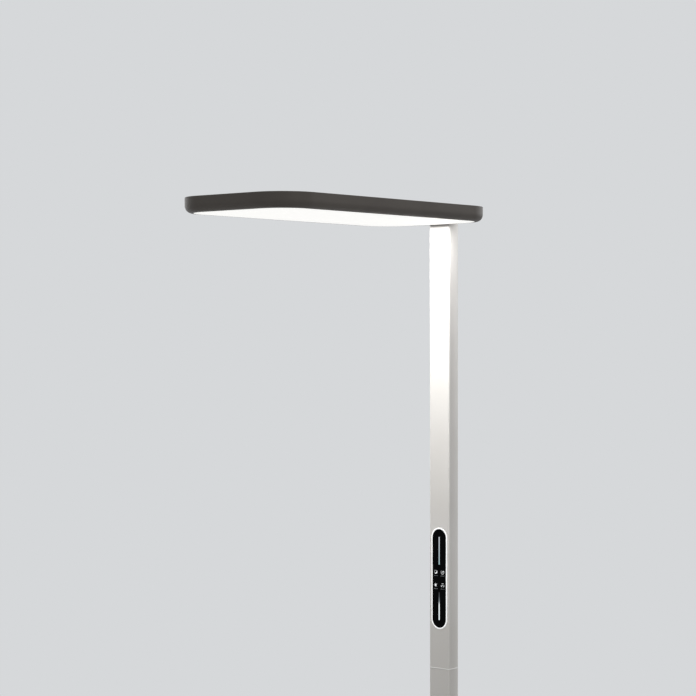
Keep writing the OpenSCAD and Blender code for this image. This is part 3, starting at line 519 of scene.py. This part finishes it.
guide_low, guide_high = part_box("upper_light_strip")
guide_w, guide_l = guide_high.x - guide_low.x, guide_high.z - guide_low.z
guide_middle = (guide_high.z + guide_low.z) / 2 - GLASS_Z


def guide_block(name, gap, low, high, side):
    """A narrow block at the upper (1) or lower (-1) guide's place, wider by a gap all round."""
    outline = round_rectangle(
        guide_w + 2 * gap * MM, guide_l + 2 * gap * MM, (GUIDE_CORNER + gap) * MM, side * guide_middle, 5)
    front_edge = 0 if gap else 0.12
    profile = rounded([(GUIDE_IN, low), (0, low), (0, high), (GUIDE_IN, high)], [0, 0, front_edge, 0])
    return skin(name, [stand_up(carry(outline, profile), GLASS_Z)])


glass_profile = rounded(
    [(GLASS_IN, GLASS_BACK), (0, GLASS_BACK), (0, GLASS_OUT), (GLASS_IN, GLASS_OUT)], [0, 0.1, 0.35, 0])
glass = skin("touch_glass", [stand_up(carry(capsule_outline(GLASS_W, GLASS_H), glass_profile), GLASS_Z)])
cut(glass, [guide_block("tool", GUIDE_GAP, SLOT_BACK, SLOT_FRONT, side) for side in (1, -1)])
fit(glass, "panel_glass", "control_glass")

for word, side in (("upper", 1), ("lower", -1)):
    guide = guide_block(f"{word}_guide", 0, GUIDE_BACK, GLASS_OUT, side)
    fit(guide, "light_guide", f"{word}_light_strip")

# %% [markdown]
# ## The printed marks
#
# Between the light guides are four touch places. Each has a small printed sign over a short
# plain bar: a moon for night light, a dial for dimming, a sun for daylight and a broken ring for
# the automatic mode. They are flat shapes, three hundredths of a millimetre thick, so they stay
# crisp from close by. Nothing on them is lettering.

# %% Shapes that the signs are made of
PRINT_THICK = 0.03


def prism(outline, x, z):
    """Rings of a flat sign, from its outline in mm round a place on the glass."""
    points = (np.asarray(outline, float) + [x, 0]) * MM
    levels = np.array([GLASS_OUT, GLASS_OUT + PRINT_THICK]) * MM
    rings = np.stack([np.concatenate([points, np.full((len(points), 1), h)], 1) for h in levels])
    return stand_up(rings, z)


def polar(radius, angle):
    """Points at a radius and an angle in degrees, which may both be arrays."""
    angle = np.radians(angle)
    return np.stack([radius * np.cos(angle), radius * np.sin(angle)], -1)


def disc(radius, x=0.0, y=0.0):
    """A round spot, as a point for every ten degrees."""
    return polar(radius, np.arange(0, 360, 10)) + [x, y]


def star(radius, x, y, waist=0.35):
    """A star of four points: eight radii, by turns long and short."""
    turns = np.arange(8)
    return polar(np.where(turns % 2 == 0, radius, radius * waist), turns * 45) + [x, y]


def crescent(radius, side=135, shift=0.44, bite=0.9):
    """A disc with a smaller disc bitten out of one side.

    The shift and the smaller radius are shares of the disc's radius. The circles meet where the
    cosine of the angle from that side is (1 + shift^2 - bite^2) / (2 shift).
    """
    turn = math.acos((1 + shift**2 - bite**2) / (2 * shift))
    inner_turn = math.atan2(math.sin(turn), math.cos(turn) - shift)
    meet, inner_meet = math.degrees(turn), math.degrees(inner_turn)
    outer = polar(radius, np.linspace(side + meet, side + 360 - meet, 30))
    inner = polar(radius * bite, np.linspace(side + 360 - inner_meet, side + inner_meet, 24))
    return np.concatenate([outer, (inner + polar(radius * shift, side))[1:-1]])


def sector(inner, outer, first, last):
    """A piece of a ring between two angles."""
    angle = np.linspace(first, last, 28)
    return np.concatenate([polar(outer, angle), polar(inner, angle[::-1])])


def bar(width, height, x, y):
    """A rectangle round a point."""
    return np.array([(-1, -1), (1, -1), (1, 1), (-1, 1)]) * [width / 2, height / 2] + [x, y]


def ray(number, count):
    """A short bar that points away from the sign's middle, turned by its share of a circle."""
    angle = math.tau * number / count
    turn = np.array([[math.cos(angle), math.sin(angle)], [-math.sin(angle), math.cos(angle)]])
    return bar(1.2, 0.5, 3.7, 0) @ turn


print("points in the moon:", len(crescent(4.0)), "and in a star:", len(star(1.3, 0, 0)))

# %% The four signs and the bars under them
UPPER_X, LOWER_X = 9.0, 9.4
UPPER_ROW, LOWER_ROW = GLASS_Z + 13.5 * MM, GLASS_Z - 14 * MM
BAR_H, BAR_Y = 1.0, -7.9

moon = [crescent(4.0), star(1.3, -2.0, 2.9), star(0.9, -3.4, 0.4)]
dial = [sector(3.7, 4.3, -220, 40), disc(1.3, 1.3, 1.2), bar(2.4, 0.5, -0.9, -1.0)]
sun = [disc(2.3)] + [ray(k, 8) for k in range(8)]
auto = [sector(3.1, 4.1, a - 36, a + 36) for a in (90, 210, 330)] + [disc(0.8)]
signs = {
    "moon_sign": (-UPPER_X, UPPER_ROW, moon), "dial_sign": (UPPER_X, UPPER_ROW, dial),
    "sun_sign": (-LOWER_X, LOWER_ROW, sun), "auto_sign": (LOWER_X, LOWER_ROW, auto)}
for name, (x, z, shapes) in signs.items():
    fit(skin(name, [prism(shape, x, z) for shape in shapes]), "light_guide")

bars = [bar(width, BAR_H, x, BAR_Y) for width, x in ((4.0, -3.2), (2.6, 0.6), (2.4, 3.8))]
bar_rings = [prism(shape, x, z) for x, z, _ in signs.values() for shape in bars]
fit(skin("caption_bars", bar_rings), "light_guide")

# %% [markdown]
# ## The base
#
# The base is one steel plate with rounded corners and a softly rounded top edge. From below it
# has four counterbores for the bolts that hold the post's foot, and four holes for the glides.

# %% Base plate
BASE_CORNER, EDGE_FLAT = 60 * MM, 30
BOLT_X, BOLT_Y, BOLT_APART = 13 * MM, POST_FRONT + 22 * MM, 10 * MM
BORE_R, BORE_DEPTH = 5.3 * MM, 7 * MM
GLIDE_IN, GLIDE_HOLE_R, GLIDE_HOLE_DEPTH = 36 * MM, 4.05 * MM, 11 * MM

base_low, base_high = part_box("base_plate")
base_y, below = (base_low.y + base_high.y) / 2, base_low.z - 1 * MM
under, top = base_low.z / MM, base_high.z / MM
base_outline = round_rectangle(base_high.x - base_low.x, base_high.y - base_low.y, BASE_CORNER, base_y)
base_section = rounded(
    [(EDGE_FLAT, under), (0, under), (0, top), (EDGE_FLAT, top)], [0, 0.6, 2, 0], steps=9)
base = skin("floor_plate", [carry(base_outline, base_section)])

bolt_places = [(x, BOLT_Y + y) for x in (-BOLT_X, BOLT_X) for y in (-BOLT_APART, BOLT_APART)]
glide_x = base_high.x - GLIDE_IN
glide_ys = (base_high.y - GLIDE_IN, base_low.y + GLIDE_IN)
glide_places = [(x, y) for y in glide_ys for x in (-glide_x, glide_x)]
cut(base, [drill(x, y, below, BORE_R, BORE_DEPTH) for x, y in bolt_places]
    + [drill(x, y, below, GLIDE_HOLE_R, GLIDE_HOLE_DEPTH) for x, y in glide_places])
fit(base, "base_finish", "base_plate")

# %% [markdown]
# ## Levelling glides
#
# Four glides carry the lamp and level it. Each is a rubber pad on a threaded stud. The thread is
# real and not a bump in the finish, because it shows when the glide is screwed out.

# %% Thread of a stud
TAPER, TAPER_LENGTH = 0.4, 0.6


def thread(radius, low, high, pitch, depth, steps=40):
    """Rings of a threaded rod.

    The radius falls by up to the depth as the share of a turn plus height over pitch runs
    through a triangle wave, which winds the groove into a helix. The upper end tapers in.
    """
    z = np.linspace(low, high, int((high - low) / pitch * 8) + 1)[:, None]
    angle = np.linspace(0, 2 * np.pi, steps, endpoint=False)[None]
    wave = np.abs(((z / pitch - angle / (2 * np.pi)) % 1) * 2 - 1)
    r = radius - depth * wave - TAPER * np.clip(1 - (high - z) / TAPER_LENGTH, 0, 1)
    rings = np.stack([r * np.cos(angle), r * np.sin(angle), np.broadcast_to(z, r.shape)], -1)
    return rings * MM


# %% Four glides
GLIDE_WORDS = ("rear_left", "rear_right", "front_left", "front_right")

pad_section = rounded(
    [(1, 0), (15, 0), (15, 3), (13, 5), (4, 5), (4, 2), (1, 2)], [0, 0.6, 0.8, 0.6, 0.2, 0, 0], steps=6)
stud_rings = thread(3.98, 2, 14, pitch=1.25, depth=0.5)
for k, (word, (x, y)) in enumerate(zip(GLIDE_WORDS, glide_places), start=1):
    pad = skin(f"pad_{k}", [turned(pad_section, steps=64) + [x, y, 0]])
    fit(pad, "pad_black", f"glide_pad_{k}", body=f"glide_{word}")
    stud = skin(f"stud_{k}", [stud_rings + [x, y, 0]])
    fit(stud, "bright_steel", f"glide_stud_{k}", body=f"glide_{word}")

# %% [markdown]
# ## The gland
#
# The mains lead would leave through a plastic gland low in the rear of the post. Its head is
# turned, with shallow ribs round it for the fingers. The ribs are a wave in the radius, which
# fades out where the radius gets small and towards the rear end of the head.

# %% Gland with finger ribs
RIBS, RIB_DEPTH = 16, 0.35 * MM
RIB_LOW_R, RIB_END, RIB_FADE_IN, RIB_FADE_OUT = 8 * MM, 56.2 * MM, 0.6 * MM, 2 * MM

gland_section = rounded(
    [(3.7, 40.5), (6, 40.5), (6, 46.5), (9, 46.5), (9, 56), (7.4, 58), (3.7, 58)],
    [0.2, 0.3, 0, 0.2, 0.8, 0.5, 0.4], steps=6)
gland = turned(gland_section, steps=96)
radius, along = np.hypot(gland[..., 0], gland[..., 1]), gland[..., 2]
angle = np.arctan2(gland[..., 1], gland[..., 0])
fade_in = np.clip((radius - RIB_LOW_R) / RIB_FADE_IN, 0, 1)
fade_out = np.clip((RIB_END - along) / RIB_FADE_OUT, 0, 1)
ribbed = radius - RIB_DEPTH * fade_in * fade_out * (0.5 + 0.5 * np.cos(RIBS * angle))
gland = np.stack([ribbed * np.cos(angle), POST_FRONT + along, GLAND_Z + ribbed * np.sin(angle)], -1)
fit(skin("mains_gland", [gland], loop=True), "gland_black", "gland_body")

# %% [markdown]
# ## Effects that the finishes share
#
# No real surface has one flat colour. Three small node groups give the finishes their variation:
# a slow cloudiness between two close shades, a fine grain for blasted or moulded surfaces, and
# long fine lines for drawn metal. Each group only puts out a colour or a number.

# %% Node groups
def new_group(name, inputs, outputs):
    """An empty shader node group with named sockets, and its input and output nodes."""
    group = bpy.data.node_groups.new(name, "ShaderNodeTree")
    for socket, kind, value in inputs:
        made_socket = group.interface.new_socket(socket, in_out="INPUT", socket_type=kind)
        if value is not None:
            made_socket.default_value = value
    for socket, kind in outputs:
        group.interface.new_socket(socket, in_out="OUTPUT", socket_type=kind)
    return group, group.nodes.new("NodeGroupInput"), group.nodes.new("NodeGroupOutput")


def connect(tree, target, links):
    """Fills inputs of a node: each name or number gets a link from a socket, or a plain value."""
    for key, value in links.items():
        if isinstance(value, bpy.types.NodeSocket):
            tree.links.new(value, target.inputs[key])
        else:
            target.inputs[key].default_value = value


def node(tree, kind, links, **settings):
    """Adds a node with its settings, and fills its inputs."""
    made_node = tree.nodes.new(kind)
    for key, value in settings.items():
        setattr(made_node, key, value)
    connect(tree, made_node, links)
    return made_node


# %% Cloudy shade
VECTOR, NUMBER, COLOUR = "NodeSocketVector", "NodeSocketFloat", "NodeSocketColor"
MIX_A, MIX_B, MIXED = 6, 7, 2  # the two colour inputs of a Mix node, and its colour output

cloudy, given, result = new_group("cloudy_shade", [
    ("Vector", VECTOR, None), ("Scale", NUMBER, 9.0), ("Light", COLOUR, (0.8, 0.8, 0.8, 1)),
    ("Dark", COLOUR, (0.7, 0.7, 0.7, 1))], [("Color", COLOUR)])
slow = node(cloudy, "ShaderNodeTexNoise", {
    "Vector": given.outputs["Vector"], "Scale": given.outputs["Scale"], "Detail": 3.0, "Roughness": 0.45})
clouds = node(cloudy, "ShaderNodeMapRange", {
    "Value": slow.outputs[0], "From Min": 0.35, "From Max": 0.65}, interpolation_type="SMOOTHSTEP")
shade = node(cloudy, "ShaderNodeMix", {
    "Factor": clouds.outputs[0], MIX_A: given.outputs["Light"], MIX_B: given.outputs["Dark"]},
    data_type="RGBA")
connect(cloudy, result, {"Color": shade.outputs[MIXED]})

# %% Fine grain
grain, given, result = new_group("fine_grain", [
    ("Vector", VECTOR, None), ("Scale", NUMBER, 2500.0), ("Roughness", NUMBER, 0.4),
    ("Spread", NUMBER, 0.06)], [("Height", NUMBER), ("Roughness", NUMBER)])
fine = node(grain, "ShaderNodeTexNoise", {
    "Vector": given.outputs["Vector"], "Scale": given.outputs["Scale"], "Detail": 2.0})
centred = node(grain, "ShaderNodeMath", {0: fine.outputs[0], 1: 0.5}, operation="SUBTRACT")
varied = node(grain, "ShaderNodeMath", {
    0: centred.outputs[0], 1: given.outputs["Spread"], 2: given.outputs["Roughness"]},
    operation="MULTIPLY_ADD")
connect(grain, result, {"Height": fine.outputs[0], "Roughness": varied.outputs[0]})

# %% Drawn lines
lines, given, result = new_group("drawn_lines", [
    ("Vector", VECTOR, None), ("Across", NUMBER, 1800.0), ("Along", NUMBER, 6.0)], [("Height", NUMBER)])
stretch = node(lines, "ShaderNodeCombineXYZ", {
    0: given.outputs["Across"], 1: given.outputs["Across"], 2: given.outputs["Along"]})
longer = node(lines, "ShaderNodeVectorMath", {
    0: given.outputs["Vector"], 1: stretch.outputs[0]}, operation="MULTIPLY")
streak = node(lines, "ShaderNodeTexNoise", {"Vector": longer.outputs[0], "Scale": 1.0, "Detail": 2.0})
connect(lines, result, {"Height": streak.outputs[0]})
print("groups:", [g.name for g in bpy.data.node_groups])

# %% [markdown]
# ## The finishes
#
# Each finish is one material on the same plan. The cloudy group gives the colour, the grain
# group gives a height and a roughness that changes from place to place, and drawn metal adds
# its lines to the height. The differences are in the values: how close the two shades are,
# how coarse the grain is, how metallic and how rough the surface is.

# %% Colours and the start of a material
def srgb(*values):
    """Turns the usual 0 to 255 colour numbers into the linear values that a shader needs."""
    c = np.array(values, float) / 255
    linear = np.where(c <= 0.04045, c / 12.92, ((c + 0.055) / 1.055) ** 2.4)
    return (*linear.tolist(), 1.0)


def dimmed(colour, share):
    """The same colour with a share of its light."""
    return (*(share * c for c in colour[:3]), 1.0)


def new_material(name):
    """A material with its Principled shader, and the Object coordinates every pattern uses."""
    material = bpy.data.materials.new(name)
    material.use_nodes = True
    tree = material.node_tree
    place = tree.nodes.new("ShaderNodeTexCoord").outputs["Object"]
    return material, tree, tree.nodes["Principled BSDF"], place


def clouded(tree, place, scale, light, dark):
    """The colour that the cloudy group gives for two shades, written as 0 to 255."""
    links = {"Vector": place, "Scale": scale, "Light": srgb(*light), "Dark": srgb(*dark)}
    return node(tree, "ShaderNodeGroup", links, node_tree=cloudy).outputs["Color"]


def grained(tree, place, scale, rough, spread):
    """The height and the roughness that the grain group gives."""
    links = {"Vector": place, "Scale": scale, "Roughness": rough, "Spread": spread}
    return node(tree, "ShaderNodeGroup", links, node_tree=grain).outputs


print("a grey of 128 is", round(srgb(128)[0], 3), "in linear light")

# %% The common plan
finishes = {}


def finish(name, light, dark, rough, metallic, grain_scale, grain_mm, cloud, spread, drawn_mm=0.0,
           coat=0.0, specular=0.5):
    """A material on the common plan, with light and dark as its two shades from 0 to 255.

    The roughness goes up and down by half of spread. The grain and the drawn lines have their
    heights in mm, and the scales of grain and cloud say how many waves they have in a metre.
    """
    material, tree, shader, place = new_material(name)
    colour = clouded(tree, place, cloud, light, dark)
    texture = grained(tree, place, grain_scale, rough, spread)
    bump = node(tree, "ShaderNodeBump", {"Height": texture["Height"], "Distance": grain_mm * MM})
    if drawn_mm:
        drawn = node(tree, "ShaderNodeGroup", {"Vector": place}, node_tree=lines)
        bump = node(tree, "ShaderNodeBump", {
            "Height": drawn.outputs[0], "Distance": drawn_mm * MM, "Normal": bump.outputs[0]})
    connect(tree, shader, {
        "Base Color": colour, "Roughness": texture["Roughness"], "Normal": bump.outputs[0],
        "Metallic": metallic, "Specular IOR Level": specular, "Coat Weight": coat})
    finishes[name] = material
    return material


# %% [markdown]
# ### Metals
#
# The post is fine-blasted, clear anodised aluminium: warm, pale and satin. The head's mid-dark
# grey is painted shade: its body is most likely the post's pale aluminium, seen in deep shade.
# The carrier plate inside is plain rolled sheet with drawn lines, and the screws, bolts and
# brackets are zinc plated or blackened steel.

# %% Metal finishes
# Two shades, roughness, metallic, grain scale and height, cloud scale, spread
finish("post_finish", (228, 225, 221), (222, 219, 214), 0.46, 0.15, 3200, 0.006, 5, 0.10,
       drawn_mm=0.002, specular=0.25)
# The head's grey is painted shade, darker than its likely pale aluminium.
finish("head_finish", (99, 94, 89), (91, 86, 82), 0.50, 0.06, 3000, 0.008, 7, 0.12, specular=0.15)
finish("bare_sheet", (206, 208, 211), (192, 194, 198), 0.34, 0.85, 900, 0.004, 14, 0.14, drawn_mm=0.006)
finish("bracket_steel", (150, 152, 155), (132, 134, 138), 0.40, 0.85, 700, 0.006, 40, 0.18)
finish("bright_steel", (198, 199, 201), (176, 178, 182), 0.28, 0.90, 1200, 0.003, 90, 0.14)
finish("dark_steel", (56, 56, 58), (44, 44, 46), 0.38, 0.70, 1500, 0.004, 90, 0.14)
finish("insert_aluminium", (190, 192, 195), (176, 178, 181), 0.36, 0.85, 1400, 0.004, 20, 0.12,
       drawn_mm=0.005)
finish("brass_pillar", (206, 180, 104), (188, 160, 88), 0.26, 0.90, 1600, 0.002, 80, 0.10)
# The joint bead's near-white is a painted highlight: it stands in for the light line along the joint.
finish("seam_bright", (252, 251, 249), (248, 247, 245), 0.40, 0.0, 2600, 0.003, 40, 0.10, coat=0.6)
finish("base_finish", (74, 71, 69), (66, 63, 62), 0.58, 0.10, 1500, 0.030, 6, 0.14)
finish("supply_case", (218, 218, 215), (208, 208, 206), 0.46, 0.10, 1500, 0.015, 12, 0.10)
print("metal finishes:", len(finishes))

# %% [markdown]
# ### Plastics, rubber and foam
#
# Moulded plastic has a spark-eroded texture from its tool, rubber is duller, and foam is full
# of small cells. All of them are dark except the terminal block.

# %% Moulded and soft finishes
finish("tray_black", (20, 20, 20), (15, 15, 15), 0.62, 0.0, 2200, 0.012, 25, 0.10, specular=0.3)
finish("gland_black", (24, 24, 25), (18, 18, 19), 0.48, 0.0, 1800, 0.020, 60, 0.12, specular=0.4)
finish("pad_black", (30, 30, 31), (23, 23, 24), 0.72, 0.0, 1200, 0.030, 60, 0.12, specular=0.3)
finish("cable_black", (34, 34, 34), (26, 26, 26), 0.55, 0.0, 1600, 0.020, 120, 0.10)
finish("wire_brown", (110, 72, 44), (96, 62, 38), 0.50, 0.0, 1800, 0.010, 120, 0.10)
finish("terminal_plastic", (232, 232, 228), (222, 222, 218), 0.42, 0.0, 1500, 0.015, 60, 0.10)
finish("seal_foam", (44, 44, 46), (26, 26, 28), 0.90, 0.0, 650, 0.150, 300, 0.10, specular=0.2)
print("finishes so far:", len(finishes))

# %% [markdown]
# ### Circuit boards
#
# A board's solder mask covers copper tracks that show as slightly raised, lighter lines. A brick
# pattern with thin joints gives the tracks, and the mask is white on the diode boards, so that
# no light is lost, and green on the others.

# %% Board finishes
def board(name, mask, track, rough):
    """Solder mask over tracks: the brick pattern's joints are the tracks, raised a little."""
    material, tree, shader, place = new_material(name)
    pattern = node(tree, "ShaderNodeTexBrick", {
        "Vector": place, "Scale": 90.0, "Mortar Size": 0.03, "Color1": srgb(*mask),
        "Color2": dimmed(srgb(*mask), 0.94), "Mortar": srgb(*track)})
    texture = grained(tree, place, 900.0, rough, 0.1)
    bump = node(tree, "ShaderNodeBump", {"Height": pattern.outputs["Fac"], "Distance": 0.03 * MM})
    connect(tree, shader, {
        "Base Color": pattern.outputs["Color"], "Roughness": texture["Roughness"],
        "Normal": bump.outputs[0]})
    finishes[name] = material


board("white_board", (238, 239, 234), (214, 212, 200), 0.35)
board("green_board", (28, 92, 56), (60, 128, 74), 0.30)
print("finishes so far:", len(finishes))

# %% [markdown]
# ### Black glass
#
# The touch panel is black glass. Its gloss is nearly even, and only faint smears from fingers
# change it. The smears are a soft noise that raises the roughness by a few hundredths.

# %% Glass of the touch panel
material, tree, shader, place = new_material("panel_glass")
smear = node(tree, "ShaderNodeTexNoise", {"Vector": place, "Scale": 55.0, "Detail": 3.0})
patches = node(tree, "ShaderNodeMapRange", {
    "Value": smear.outputs[0], "From Min": 0.45, "From Max": 0.75, "To Min": 0.05, "To Max": 0.14})
connect(tree, shader, {
    "Base Color": clouded(tree, place, 40.0, (4, 4, 5), (2, 2, 3)), "Roughness": patches.outputs[0],
    "Specular IOR Level": 0.035})
finishes["panel_glass"] = material

# %% [markdown]
# The white signs and the ring round the glass are given a faint glow of their own. It is painted
# light that keeps them bright, since nothing in the scene lights them from behind.

# %% Printed signs and the ring, with painted glow
# The emission strengths below are painted glow on print and ring, not lamps.
for name, light, dark, strength in (
        ("print_white_painted_glow", (236, 238, 240), (214, 218, 222), 0.45),
        ("print_grey", (128, 130, 134), (112, 114, 118), 0.0),
        ("bezel_bright", (250, 250, 249), (242, 243, 244), 0.50)):
    tree = finish(name, light, dark, 0.22, 0.0, 1200, 0.002, 45, 0.05).node_tree
    connect(tree, tree.nodes["Principled BSDF"], {
        "Emission Color": srgb(255, 255, 255), "Emission Strength": strength})
print("finishes so far:", len(finishes))

# %% [markdown]
# ### Lit pieces
#
# The opal panel glows evenly, with a fine dotted structure that spreads the light. The window
# glows upwards in the same way.

# %% Opal panel and window
DOT_SCALE = 420.0


def glow(name, colour, strength):
    """An opal sheet lit from behind: its light falls by a sixth from a cell's middle to its edge."""
    material, tree, shader, place = new_material(name)
    cells = node(tree, "ShaderNodeTexVoronoi", {"Vector": place, "Scale": DOT_SCALE})
    level = node(tree, "ShaderNodeMapRange", {
        "Value": cells.outputs["Distance"], "From Max": 0.6, "To Min": 1.0, "To Max": 0.0})

    def between(edge, middle):
        """A colour that runs from a cell's edge to its middle."""
        links = {"Factor": level.outputs[0], MIX_A: edge, MIX_B: middle}
        return node(tree, "ShaderNodeMix", links, data_type="RGBA").outputs[MIXED]

    bump = node(tree, "ShaderNodeBump", {"Height": cells.outputs["Distance"], "Distance": 0.05 * MM})
    connect(tree, shader, {
        "Emission Color": between(dimmed(srgb(*colour), 0.84), srgb(*colour)),
        "Base Color": between(srgb(132, 132, 130), srgb(150, 150, 148)), "Normal": bump.outputs[0],
        "Emission Strength": strength, "Roughness": 0.5})
    finishes[name] = material


glow("opal", (255, 254, 251), 0.90)
glow("window", (255, 254, 251), 0.74)

# %% [markdown]
# In the light guides the light changes along their length: the upper one gets a little paler
# upwards, and the lower one fades out at its top. So the colour is read from the height above
# the floor, as a share of the 200 mm round the glass's middle.

# %% Light guides
RAMP_REACH = 100 * MM

material, tree, shader, place = new_material("light_guide")
height = node(tree, "ShaderNodeSeparateXYZ", {0: place})
share = node(tree, "ShaderNodeMapRange", {
    "Value": height.outputs[2], "From Min": GLASS_Z - RAMP_REACH, "From Max": GLASS_Z + RAMP_REACH})
ramp = node(tree, "ShaderNodeValToRGB", {"Fac": share.outputs[0]})
lower_stops = [
    (0.06, (236, 246, 251)), (0.22, (250, 255, 255)), (0.26, (120, 128, 132)), (0.31, (56, 60, 64)),
    (0.36, (12, 13, 14))]
upper_stops = [(0.64, (158, 192, 193)), (0.72, (168, 186, 192)), (0.93, (192, 195, 201))]
for k, (at, colour) in enumerate(lower_stops + upper_stops):
    stop = ramp.color_ramp.elements[k] if k < 2 else ramp.color_ramp.elements.new(at)
    stop.position, stop.color = at, srgb(*colour)
connect(tree, shader, {
    "Emission Color": ramp.outputs["Color"], "Emission Strength": 1.0, "Roughness": 0.2,
    "Base Color": clouded(tree, place, 60.0, (26, 28, 30), (20, 22, 24))})
finishes["light_guide"] = material
print("finishes:", len(finishes))

# %% [markdown]
# ## Giving every piece its finish
#
# The record says which finish each CAD node has. The nodes that stay in the scene get it from
# there, and the new pieces get it from the slot they were fitted with. The printed signs share
# the light guides' slot, but have a finish of their own.

# %% Assign the finishes
for entry in frame["record"]["subparts"]:
    piece = frame["nodes"][entry["node"]]
    piece.data.materials.clear()
    piece.data.materials.append(finishes[entry["material_slot"]])
printed = {"caption_bars": "print_grey", **{name: "print_white_painted_glow" for name in signs}}
for piece, slot in made:
    piece.data.materials.clear()
    piece.data.materials.append(finishes[printed.get(piece.name, slot)])
print("pieces made:", len(made), "faces:", sum(len(p.data.polygons) for p, _ in made))

# %% [markdown]
# ## Studio
#
# The room is a plain pale floor that fades into a pale background, so no horizon shows. The
# floor is clear from below, so that the underside can be looked at, and clear for light that has
# bounced off the lamp, so that the underside isn't left black. The background's colour is only
# seen directly, in reflections and through glass, and a plain even light comes from all round.

# %% Background
PALE = srgb(214, 216, 218)


def largest(tree, *sockets):
    """The largest of some numbers, found two at a time."""
    total = sockets[0]
    for other in sockets[1:]:
        total = node(tree, "ShaderNodeMath", {0: total, 1: other}, operation="MAXIMUM").outputs[0]
    return total


world = bpy.data.worlds.new("studio")
world.use_nodes = True
bpy.context.scene.world = world
tree = world.node_tree
tree.nodes.clear()
seen = node(tree, "ShaderNodeBackground", {"Color": PALE, "Strength": 1.0})
light = node(tree, "ShaderNodeBackground", {"Color": (1, 1, 1, 1), "Strength": 0.25})
path = node(tree, "ShaderNodeLightPath", {}).outputs
straight = largest(tree, path["Is Camera Ray"], path["Is Glossy Ray"], path["Is Transmission Ray"])
both = node(tree, "ShaderNodeMixShader", {0: straight, 1: light.outputs[0], 2: seen.outputs[0]})
node(tree, "ShaderNodeOutputWorld", {0: both.outputs[0]})

# %% Floor
FLOOR_RADII, FLOOR_STEPS = (4.0, 1.5, 0.02), 96

floor_rings = turned(np.array([(radius, 0.0) for radius in FLOOR_RADII]), FLOOR_STEPS)
floor_points = floor_rings.reshape(-1, 3).tolist()
floor_quads = grid_faces(len(FLOOR_RADII), FLOOR_STEPS, False).tolist()
middle_face = list(range(len(floor_points) - FLOOR_STEPS, len(floor_points)))
floor_mesh = bpy.data.meshes.new("studio_floor")
floor_mesh.from_pydata(floor_points, [], floor_quads + [middle_face])
if floor_mesh.polygons[0].normal.z < 0:
    floor_mesh.flip_normals()
print("floor faces up:", all(p.normal.z > 0.99 for p in floor_mesh.polygons))
floor = bpy.data.objects.new("studio_floor", floor_mesh)
bpy.context.scene.collection.objects.link(floor)

# %% Finish of the floor
FADE_FROM, FADE_TO = 0.6, 2.3

material, tree, shader, place = new_material("studio_floor")
connect(tree, shader, {
    "Base Color": clouded(tree, place, 0.7, (234, 235, 237), (231, 233, 235)), "Roughness": 0.9,
    "Specular IOR Level": 0.1})
far = node(tree, "ShaderNodeVectorMath", {0: place}, operation="LENGTH")
fade = node(tree, "ShaderNodeMapRange", {
    "Value": far.outputs["Value"], "From Min": FADE_FROM, "From Max": FADE_TO},
    interpolation_type="SMOOTHSTEP")
from_below = node(tree, "ShaderNodeNewGeometry", {}).outputs["Backfacing"]
bounced = node(tree, "ShaderNodeLightPath", {}).outputs["Is Diffuse Ray"]
gone = largest(tree, fade.outputs[0], from_below, bounced)
clear = node(tree, "ShaderNodeBsdfTransparent", {})
both = node(tree, "ShaderNodeMixShader", {0: gone, 1: shader.outputs[0], 2: clear.outputs[0]})
connect(tree, tree.nodes["Material Output"], {0: both.outputs[0]})
floor.data.materials.append(material)

# %% [markdown]
# Large soft lamps give the shapes their light and shade: from the front, both sides, the rear
# and above. One more lamp lies just under the opal panel and shines down. It does the panel's
# work, so that the panel itself can keep a strength at which its edges stay clean.

# %% Lamps of the studio
SOFT_SIZE = 2.4


def area_lamp(name, place, shape, width, length, power):
    """A lamp of some width and length at a place, which shines down until it is turned."""
    data = bpy.data.lights.new(name, "AREA")
    data.shape, data.size, data.size_y, data.energy = shape, width, length, power
    lamp = bpy.data.objects.new(name, data)
    lamp.location = place
    bpy.context.scene.collection.objects.link(lamp)
    return lamp


def soft_lamp(name, place, aim, power):
    """A large square lamp at a place, turned so that it shines at a point."""
    lamp = area_lamp(name, place, "SQUARE", SOFT_SIZE, SOFT_SIZE, power)
    away = np.array(place, float) - np.array(aim, float)
    lamp.rotation_euler = (
        math.acos(away[2] / np.linalg.norm(away)), 0, math.atan2(away[1], away[0]) + math.pi / 2)


soft_lamp("front_light", (0.4, -3.8, 1.4), (0, 0.1, 0.8), 4)
soft_lamp("right_light", (3.7, -0.8, 2.2), (0, 0, 1.4), 15)
soft_lamp("left_light", (-3.6, 0.6, 2.2), (0, 0, 1.4), 30)
soft_lamp("rear_light", (0.6, 3.6, 2.8), (0, 0, 1.2), 40)
soft_lamp("ceiling_light", (0.001, 0.2, 4.4), (0, 0.2, 1.9), 52)
head_light = area_lamp("head_light", (0, HEAD_Y, LIT_Z - 2 * MM), "RECTANGLE", 0.26, 0.60, 6.2)
head_light.visible_camera = head_light.visible_glossy = False
print("lamps:", len(bpy.data.lights), "with", sum(data.energy for data in bpy.data.lights), "watts")

# %% [markdown]
# ## Finishing
#
# The view transform is the plain one, so a colour looks as it was written.

# %% View
bpy.context.scene.view_settings.view_transform = "Standard"
